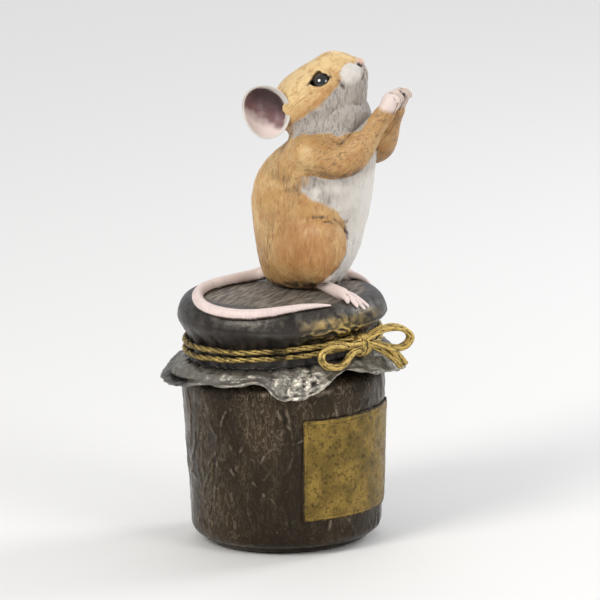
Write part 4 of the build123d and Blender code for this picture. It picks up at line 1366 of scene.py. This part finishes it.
        limit = 33 + 54 * ease(73, 80, where[:, 2])
        twin = where.copy()
        twin[:, 0] = MIDLINE - np.abs(lateral)
        shot = self.pictured(twin)
        on_side = ease(1.5, 3.0, np.abs(lateral))
        edge = np.interp(shot[:, 1], [y for _, y in HAUNCH_EDGE], [x for x, _ in HAUNCH_EDGE])
        low_enough = ease(207, 219, shot[:, 1] + 2.0 * wave)
        thigh = ease(2.4, -2.4, shot[:, 0] - edge + 1.2 * wave) * low_enough * on_side
        past = ease(-2.4, 2.4, shot[:, 0] - edge + 1.2 * wave) * low_enough * ease(60, 40, angle)
        front = np.maximum(ease(13, -13, angle - limit + 4 * wave + 2 * fine) * (1 - thigh), past)
        belly = np.maximum(on_head * np.maximum(under, pad), on_torso * front)
        chest = ease(88, 91, where[:, 2]) * ease(70, 50, angle)
        belly = np.maximum(belly, (1 - on_head) * (1 - on_arm) * chest)
        under_arm = bell(where[:, 1] + 11.8, 3.4) * bell(where[:, 2] - 78.5, 2.8) * on_torso
        throat = on_head * under * (1 - 0.95 * pad) + 0.6 * on_torso * ease(80, 84, where[:, 2])
        flank = on_torso * ease(26, 44, angle) * ease(72, 77, where[:, 2])
        throat = np.maximum(throat, flank * (0.55 + 0.7 * wave))
        haunch = bell(where[:, 1] + 9.0, 8.5) * bell(where[:, 2] - 66, 8.0) * on_torso
        upper_back = on_torso * ease(2, 8, where[:, 1]) * ease(66, 78, where[:, 2])
        crown = on_head * ease(-0.5, 5.0, up) + 0.45 * upper_back
        profile = where[:, 1:]
        crease = bell(near_line(profile, [(3, 62), (0, 70), (-2.5, 75.5), (-7, 80)]), 3.4) * on_torso
        behind = bell(near_line(profile, [(1.5, 84), (-6.0, 80.5)]), 2.6) * on_torso
        fore_arm = on_arm * ease(-7, -14, where[:, 1])
        # Painted shade: the underside of the forearm is darker, rustier and more brushed.
        arm_underside_shade = fore_arm * ease(-0.1, -0.8, normals(piece)[:, 2])
        broken = 0.55 + 0.9 * rough(where, 1.6, 3.7, 2)
        # Painted shadows: dark lines along the haunch's edge and its nick, under the arm, round the seat and
        # by the whisker pad, and softer painted shade in the creases, under the arm and under the forearm.
        shadow = 0.55 * broken * ease(2.2, 0.4, near_line(shot, HAUNCH_EDGE[1:])) * on_side * on_torso
        nick = near_line(shot, HAUNCH_NICK)
        shadow = np.maximum(shadow, 0.6 * ease(1.6, 0.3, nick) * on_torso)
        armpit = near_line(shot, ARMPIT)
        shadow = np.maximum(shadow, 0.6 * broken * ease(3.6, 0.6, armpit) * (1 - on_head))
        shadow = np.maximum(shadow, 0.75 * (0.3 + broken) * ease(59.5, 56.8, where[:, 2]) * on_torso)
        whisker = near_line(np.stack([along, up], 1), [(7.2, -0.4), (6.9, -2.0)])
        whisker = ease(0.6, 0.15, whisker) * ease(3.5, 5.0, np.abs(lateral))
        shadow = np.maximum(shadow, 0.6 * on_head * whisker)
        soft = 0.35 * (seam + arm_underside_shade) + 0.25 * behind + broken * (0.3 * under_arm + 0.22 * crease)
        shadow = np.maximum(shadow, soft)
        collar = np.interp(shot[:, 0], [x for x, _ in COLLAR], [y for _, y in COLLAR])
        collar = ease(1.6, -1.6, shot[:, 1] - collar + 1.5 * wave)
        collar = collar * ease(-5, -9, where[:, 1]) * ease(-22, -20, where[:, 1])
        belly = np.maximum(belly, on_arm * collar)
        throat = np.maximum(throat, on_arm * collar)
        store(piece, "belly", belly)
        store(piece, "throat", np.clip(throat, 0, 1))
        rust = haunch + 0.35 * on_torso * wave + 0.45 * on_head * ease(1.5, -1.5, up)
        store(piece, "rust", np.clip(rust + 0.3 * fore_arm + 0.25 * arm_underside_shade, 0, 1))
        store(piece, "pale", np.clip(crown + 0.3 * wave, 0, 1))
        brush = 0.16 * (1 - on_head) + 0.5 * seam + 0.75 * crease + 0.7 * behind
        store(piece, "brush", np.clip(brush + 0.8 * fore_arm + 0.4 * arm_underside_shade, 0, 1))
        store(piece, "painted_shadow", np.clip(shadow, 0, 1))
        store(piece, "bare", self.paws(where, 0.7))
        store(piece, "nose", np.clip(nose * 1.2 - 0.25, 0, 1))
        store(piece, "lines_and_recess_shade", np.clip(lines_and_recess_shade, 0, 1))

    def pictured(self, where):
        """Where points stand in the photo, in pixels."""
        ahead, aside = -where[:, 1], -where[:, 0]
        across = 4.111 * ahead - 1.830 * aside
        down = 534.5 - 4.393 * where[:, 2] + 0.396 * ahead + 0.890 * aside
        return np.stack([287 - 0.021 * (534 - down) + across, down - 0.021 * (across - 8)], 1)

    def execute(self, context):
        look = context.scene.figurine_mouse
        pins = ("mounting_stud", "neck_pin", "arm_pin_left", "arm_pin_right")
        body = solid_copy("mouse_skin", *self.nodes, *pins)
        bridges = [ball(head_point(0, 12.3, -0.9), (1.6, 1.4, 1.4))]
        for side in SIDES.values():
            for place_shares, radii in BRIDGES:
                bridges.append(ball(mouse_point(*place_shares, side), radii))
        body = joined("mouse_skin", [body] + bridges)
        applied(body, "REMESH", mode="VOXEL", voxel_size=look.voxel)
        hold(body)
        bpy.ops.mesh.separate(type="LOOSE")
        shells = sorted(bpy.context.selected_objects, key=lambda shell: len(shell.data.vertices))
        for shell in shells[:-1]:
            bpy.data.objects.remove(shell)
        body = shells[-1]
        self.sculpt(body)
        mark_relief(body, 7, 0.14)
        where, out = points(body), normals(body)
        centres = np.array([f.center for f in body.data.polygons])
        owner = self.near_solids(centres).argmin(0)
        lookup = {tuple(np.round(p, 4)): n for p, n in zip(where, out)}
        pieces = (
            ("mouse_trunk", -6.0), ("mouse_face", -50.0),
            ("mouse_arm_left", -48.0), ("mouse_arm_right", -48.0),
        )
        for index, (name, pitch) in enumerate(pieces):
            piece = bpy.data.objects.new(name, body.data.copy())
            bpy.context.scene.collection.objects.link(piece)
            hold(piece)
            bpy.ops.object.mode_set(mode="EDIT")
            bpy.ops.mesh.select_mode(type="FACE")
            bpy.ops.mesh.select_all(action="DESELECT")
            bpy.ops.object.mode_set(mode="OBJECT")
            piece.data.polygons.foreach_set("select", owner != index)
            bpy.ops.object.mode_set(mode="EDIT")
            bpy.ops.mesh.delete(type="FACE")
            bpy.ops.object.mode_set(mode="OBJECT")
            shown = len(piece.data.polygons)
            capped(piece)
            ways = [lookup.get(tuple(np.round(p, 4)), (0, 0, 0)) for p in points(piece)]
            finished(piece, [self.nodes[index]], "fur_paint", fur_coat(name + "_paint", look, pitch))
            corner = [(0.0, 0.0, 0.0)] * len(piece.data.loops)
            for face in piece.data.polygons[:shown]:
                for loop in face.loop_indices:
                    corner[loop] = tuple(ways[piece.data.loops[loop].vertex_index])
            piece.data.normals_split_custom_set(corner)
        bpy.data.objects.remove(body)
        return {"FINISHED"}


class FIGURINE_OT_eyes(bpy.types.Operator):
    """Set the glossy eyes in their sockets"""

    bl_idname = "figurine.eyes"
    bl_label = "Eyes"

    def execute(self, context):
        gloss = eye_coat()
        for name, side in SIDES.items():
            bead = eye_point(side) - eye_facing(side) * EYE_SINK
            piece = ball(bead, (EYE_RADIUS,) * 3)
            piece.name = "bead_eye_" + name
            where = points(piece)
            facing = np.array(eye_facing(side))
            middle = np.array(bead)
            ahead = (where - middle) @ facing
            place(piece, where - facing * (0.1 * np.clip(ahead, 0, 9) ** 2 / EYE_RADIUS)[:, None])
            finished(piece, ["eye_" + name], "eye_black", gloss)
        return {"FINISHED"}


class FIGURINE_OT_ears(bpy.types.Operator):
    """Shape the cupped ears"""

    bl_idname = "figurine.ears"
    bl_label = "Ears"

    def execute(self, context):
        paint = ear_coat(context.scene.figurine_mouse)
        angles = np.linspace(0, 2 * math.pi, 96, endpoint=False)
        outline = np.interp(
            np.degrees(angles), [0, 40, 75, 105, 140, 175, 215, 250, 285, 320, 360],
            [5.0, 5.2, 5.6, 6.0, 6.2, 5.4, 5.4, 5.9, 6.0, 5.6, 5.0],
        )
        kernel = np.ones(9) / 9
        outline = np.convolve(np.concatenate([outline[-4:], outline, outline[:4]]), kernel, "valid")
        for name, side in SIDES.items():
            middle = mouse_point(0.2, -0.015, 0.752 if side > 0 else 0.764, side)
            facing = Vector((side * 0.70, -0.68, 0.2)).normalized()
            right = Vector((-side * 0.697, -0.717, 0)).normalized()
            right = (right - facing * right.dot(facing)).normalized()
            up = Vector((0, 0, 1)) - facing * facing.z
            up.normalize()
            rows = []
            for share in np.linspace(0, 1, 22):
                bowl = -2.5 * (1 - share ** 2.2) + 0.25 * share ** 6
                rows.append((share * 0.955, bowl))
            rows += [(0.985, 0.33), (1.0, 0.2), (1.0, -0.1), (0.985, -0.4)]
            for share in np.linspace(0.95, 0, 18):
                rows.append((share, -0.75 - 2.7 * (1 - share ** 2.2)))
            rows = np.array(rows)
            ripple = 1 + 0.012 * np.sin(3 * angles + 0.6)
            reach = rows[:, :1] * (outline * ripple)[None, :]
            turned_in = np.clip(np.cos(angles - math.radians(20)), 0, 1)[None, :]
            fold = 0.9 * ease(0.55, 1.0, rows[:, :1]) * turned_in
            depth = rows[:, 1:] + fold
            sheet = (
                np.array(middle) + reach[:, :, None] * np.cos(angles)[None, :, None] * np.array(right)
                + reach[:, :, None] * np.sin(angles)[None, :, None] * np.array(up)
                + depth[:, :, None] * np.array(facing)
            )
            if side > 0:
                sheet = sheet[:, ::-1]
            piece = woven("ear_shell_" + name, sheet)
            where = points(piece)
            local = where - np.array(middle)
            away = np.hypot(local @ np.array(right), local @ np.array(up))
            ahead = local @ np.array(facing)
            front = ease(0.0, 0.2, np.abs(normals(piece) @ np.array(facing)))
            cup = -2.5 * (1 - np.clip(away / 5.6, 0, 1) ** 2.2)
            inner = front * ease(-0.75, -0.2, ahead - cup)
            rise = local @ np.array(up)
            wave = rough(where, 2.4, 3.9, 2)
            store(piece, "inner", inner)
            slope = 0.85 * rise + 0.5 * (local @ np.array(right)) + 0.5 * wave
            store(piece, "light", ease(-0.4, -3.4, slope + 0.5 * wave))
            store(piece, "shade", 0.95 * ease(-0.6, 3.0, slope))
            store(piece, "rim", inner * ease(-0.12, 0.25, ahead) * 0.85)
            finished(piece, ["ear_" + name], "ear_paint", paint)
        return {"FINISHED"}


class FIGURINE_OT_feet(bpy.types.Operator):
    """Lay the long hind feet and their toes on the cover"""

    bl_idname = "figurine.feet"
    bl_label = "Hind feet"

    def execute(self, context):
        paint = skin_coat("foot_paint", context.scene.figurine_mouse)
        feet = {
            "right": (
                (2.6, -7.6, 57.3), (-1.9, -13.4, 56.95), (-4.1, -17.0, 56.5),
                ((-7.3, -19.1, 55.5), (-6.4, -21.0, 54.6), (-4.9, -22.0, 53.9), (-2.9, -22.1, 54.0)),
            ),
            "left": (
                (12.6, -4.2, 57.0), (14.2, -7.0, 56.9), (15.6, -9.8, 56.6),
                ((18.6, -10.6, 54.6), (18.2, -12.6, 54.4), (17.0, -13.9, 54.4), (15.2, -14.3, 55.1)),
            ),
        }
        for name, (heel, arch, ball_of_foot, tips) in feet.items():
            heel, arch, fore = Vector(heel), Vector(arch), Vector(ball_of_foot)
            sole = [heel, arch, (arch + fore) / 2, fore, fore + (fore - arch) * 0.22]
            parts = [tube("foot_" + name, sole, (1.15, 1.35, 1.5, 1.45, 0.8), 14)]
            ahead = (fore - arch).normalized()
            level = ahead.cross(Vector((0, 0, 1))).normalized()
            for index, tip in enumerate(tips):
                tip = Vector(tip)
                spread = level * (index - 1.5)
                if (tip - fore).dot(level) * (index - 1.5) < 0:
                    spread = -spread
                root = arch.lerp(fore, 0.75) + spread * 0.45
                knuckle = fore.lerp(tip, 0.42) + spread * 0.18 + Vector((0, 0, 0.55))
                last = fore.lerp(tip, 0.8) + Vector((0, 0, 0.3))
                base = fore + spread * 0.75 + Vector((0, 0, 0.15))
                toe = [root, base, knuckle, last, tip]
                parts.append(tube("foot_" + name, toe, (0.7, 0.74, 0.72, 0.58, 0.34), 10))
                joint = fore.lerp(tip, 0.5) + spread * 0.12 + Vector((0, 0, 0.42))
                parts.append(ball(joint, (0.66, 0.66, 0.6)))
            piece = joined("foot_" + name, parts)
            applied(piece, "REMESH", mode="VOXEL", voxel_size=0.16)
            place(piece, relaxed(points(piece), links(piece), 3))
            mark_relief(piece, 6, 0.055)
            finished(piece, ["hind_foot_" + name], "skin_paint", paint)
        return {"FINISHED"}


class FIGURINE_OT_tail(bpy.types.Operator):
    """Lay the ringed tail round the cover"""

    bl_idname = "figurine.tail"
    bl_label = "Tail"

    rows = (
        (50, 0.475, 0.82), (80, 0.54, 0.72), (114, 0.755, 0.70), (138, 0.905, 0.74), (156, 0.985, 0.74),
        (177, 1.000, 0.72), (196, 0.970, 0.66), (214, 0.890, 0.50), (228, 0.870, 0.34), (236, 0.870, 0.16),
    )

    def execute(self, context):
        route = [tuple(mouse_point(0, -0.05, 0.055)), tuple(mouse_point(0, -0.12, 0.045))]
        radii = [2.0, 1.62]
        for heading, reach, size in self.rows:
            radius = 1.7 * size
            away = COVER_RADIUS * reach
            over = max(away - ROLL_RADIUS, 0)
            turn = math.radians(heading)
            height = ROLL_Z + math.sqrt((ROLL + radius) ** 2 - over ** 2)
            route.append((away * math.cos(turn), away * math.sin(turn), height))
            radii.append(radius)
        radii[-1] = 0.22
        piece = tube("tail_ringed", route, radii, 20, 4, 14)
        where = points(piece)
        line = route_line(route, 40)
        reach = np.concatenate([[0], np.cumsum(np.linalg.norm(np.diff(line, axis=0), axis=1))])
        nearest = np.array([np.argmin(((line - spot) ** 2).sum(1)) for spot in where])
        store(piece, "reach", reach[nearest])
        # Painted shade: the underside of the tail is darker, kept as 'hollow'.
        store(piece, "hollow", ease(-0.2, -0.9, normals(piece)[:, 2]))
        finished(piece, ["tail"], "skin_paint", skin_coat("tail_paint", context.scene.figurine_mouse, 7.0))
        return {"FINISHED"}


class FIGURINE_OT_fittings(bpy.types.Operator):
    """Give the base and the hidden fittings their finishes"""

    bl_idname = "figurine.fittings"
    bl_label = "Base and fittings"

    def execute(self, context):
        felt = plain_coat("felt_dark", (0.030, 0.045, 0.036), 0.0, 0.85, 1.0, 2400.0)
        steel = plain_coat("steel_plain", (0.52, 0.52, 0.53), 1.0, 0.25, 0.42, 900.0)
        brass = plain_coat("plate_bronze", tuple(context.scene.figurine_jar.bronze), 0.8, 0.35, 0.5, 300.0)
        finishes = {"base_pad": felt, "base_plate": brass}
        for node in ("mounting_stud", "stud_washer", "stud_nut", "neck_pin", "arm_pin_left", "arm_pin_right"):
            finishes[node] = steel
        for node, finish in finishes.items():
            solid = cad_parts[node]
            solid.data.materials.clear()
            solid.data.materials.append(finish)
        return {"FINISHED"}


class FIGURINE_OT_stage(bpy.types.Operator):
    """Set up the floor, the light and the camera"""

    bl_idname = "figurine.stage"
    bl_label = "Stage"

    def execute(self, context):
        look = context.scene.figurine_stage
        bpy.ops.object.select_all(action="DESELECT")
        bpy.ops.mesh.primitive_plane_add(size=8, location=(0, 0, 0))
        floor = context.object
        floor.name = "studio_floor"
        floor.data.materials.append(paper_coat(look))
        world = bpy.data.worlds.new("studio_air")
        context.scene.world = world
        world.use_nodes = True
        air = world.node_tree.nodes["Background"]
        air.inputs["Color"].default_value = (0.93, 0.95, 1.0, 1)
        air.inputs["Strength"].default_value = 0.56
        lamps = (
            ("key_light", (-0.62, 0.22, 0.52), LAMP_GOAL, 0.34, 4.0, (1.0, 0.97, 0.92)),
            ("front_light", (-0.30, -0.75, 0.42), LAMP_GOAL, 0.40, 2.3, (1.0, 0.98, 0.95)),
            ("rim_light", (0.45, -0.35, 0.40), LAMP_GOAL, 0.26, 1.7, (0.94, 0.97, 1.0)),
            ("back_light", (1.10, 0.50, 1.10), (1.10, 0.50, 0), 1.30, 5.5, (1.0, 1.0, 1.0)),
        )
        for name, spot, goal, size, power, tint in lamps:
            lamp = bpy.data.lights.new(name, "AREA")
            lamp.shape = "DISK"
            lamp.size = size
            lamp.energy = power
            lamp.color = tint
            holder = bpy.data.objects.new(name, lamp)
            holder.location = spot
            holder.rotation_euler = (Vector(goal) - Vector(spot)).to_track_quat("-Z", "Y").to_euler()
            context.scene.collection.objects.link(holder)
        turn, tilt, roll = (math.radians(angle) for angle in (look.heading, look.elevation, look.roll))
        back = Vector((math.cos(turn) * math.cos(tilt), math.sin(turn) * math.cos(tilt), math.sin(tilt)))
        right = Vector((-math.sin(turn), math.cos(turn), 0))
        up = back.cross(right)
        picture_right = right * math.cos(roll) - up * math.sin(roll)
        picture_up = up * math.cos(roll) + right * math.sin(roll)
        across, down = PHOTO_PIXELS / 2 - ORIGIN_PIXEL[0], ORIGIN_PIXEL[1] - PHOTO_PIXELS / 2
        centre = (picture_right * across + picture_up * down) * (MM / look.scale)
        camera = bpy.data.cameras.new("photo_camera")
        camera.sensor_width = 36
        camera.lens = camera.sensor_width * look.distance / (PHOTO_PIXELS / look.scale * MM)
        camera.clip_end = 50
        holder = bpy.data.objects.new("photo_camera", camera)
        holder.matrix_world = Matrix((
            (picture_right.x, picture_up.x, back.x, 0), (picture_right.y, picture_up.y, back.y, 0),
            (picture_right.z, picture_up.z, back.z, 0), (0, 0, 0, 1),
        ))
        holder.location = centre + back * look.distance
        context.scene.collection.objects.link(holder)
        context.scene.camera = holder
        context.scene.view_settings.view_transform = "Standard"
        return {"FINISHED"}


class FIGURINE_PT_panel(bpy.types.Panel):
    """The pieces of the figurine"""

    bl_idname = "FIGURINE_PT_panel"
    bl_label = "Figurine"
    bl_space_type = "VIEW_3D"
    bl_region_type = "UI"
    bl_category = "Figurine"

    def draw(self, context):
        for name in LOOKS:
            look = getattr(context.scene, name)
            for key in look.bl_rna.properties.keys():
                if key not in ("rna_type", "name"):
                    self.layout.prop(look, key)
        for operator in OPERATORS:
            self.layout.operator(operator.bl_idname)


LOOKS = {
    "figurine_jar": JarLook,
    "figurine_cover": CoverLook,
    "figurine_twine": TwineLook,
    "figurine_mouse": MouseLook,
    "figurine_stage": StageLook,
}
OPERATORS = (
    FIGURINE_OT_stage,
    FIGURINE_OT_jar,
    FIGURINE_OT_label,
    FIGURINE_OT_cover,
    FIGURINE_OT_twine,
    FIGURINE_OT_bow,
    FIGURINE_OT_mouse,
    FIGURINE_OT_eyes,
    FIGURINE_OT_ears,
    FIGURINE_OT_feet,
    FIGURINE_OT_tail,
    FIGURINE_OT_fittings,
)


def register():
    for kind in (*LOOKS.values(), *OPERATORS, FIGURINE_PT_panel):
        bpy.utils.register_class(kind)
    for name, kind in LOOKS.items():
        setattr(bpy.types.Scene, name, PointerProperty(type=kind))


def unregister():
    for name in LOOKS:
        delattr(bpy.types.Scene, name)
    for kind in reversed((*LOOKS.values(), *OPERATORS, FIGURINE_PT_panel)):
        bpy.utils.unregister_class(kind)


def main():
    register()
    make_effects()
    for operator in OPERATORS:
        group, name = operator.bl_idname.split(".")
        getattr(getattr(bpy.ops, group), name)()


if __name__ == "__main__":
    main()
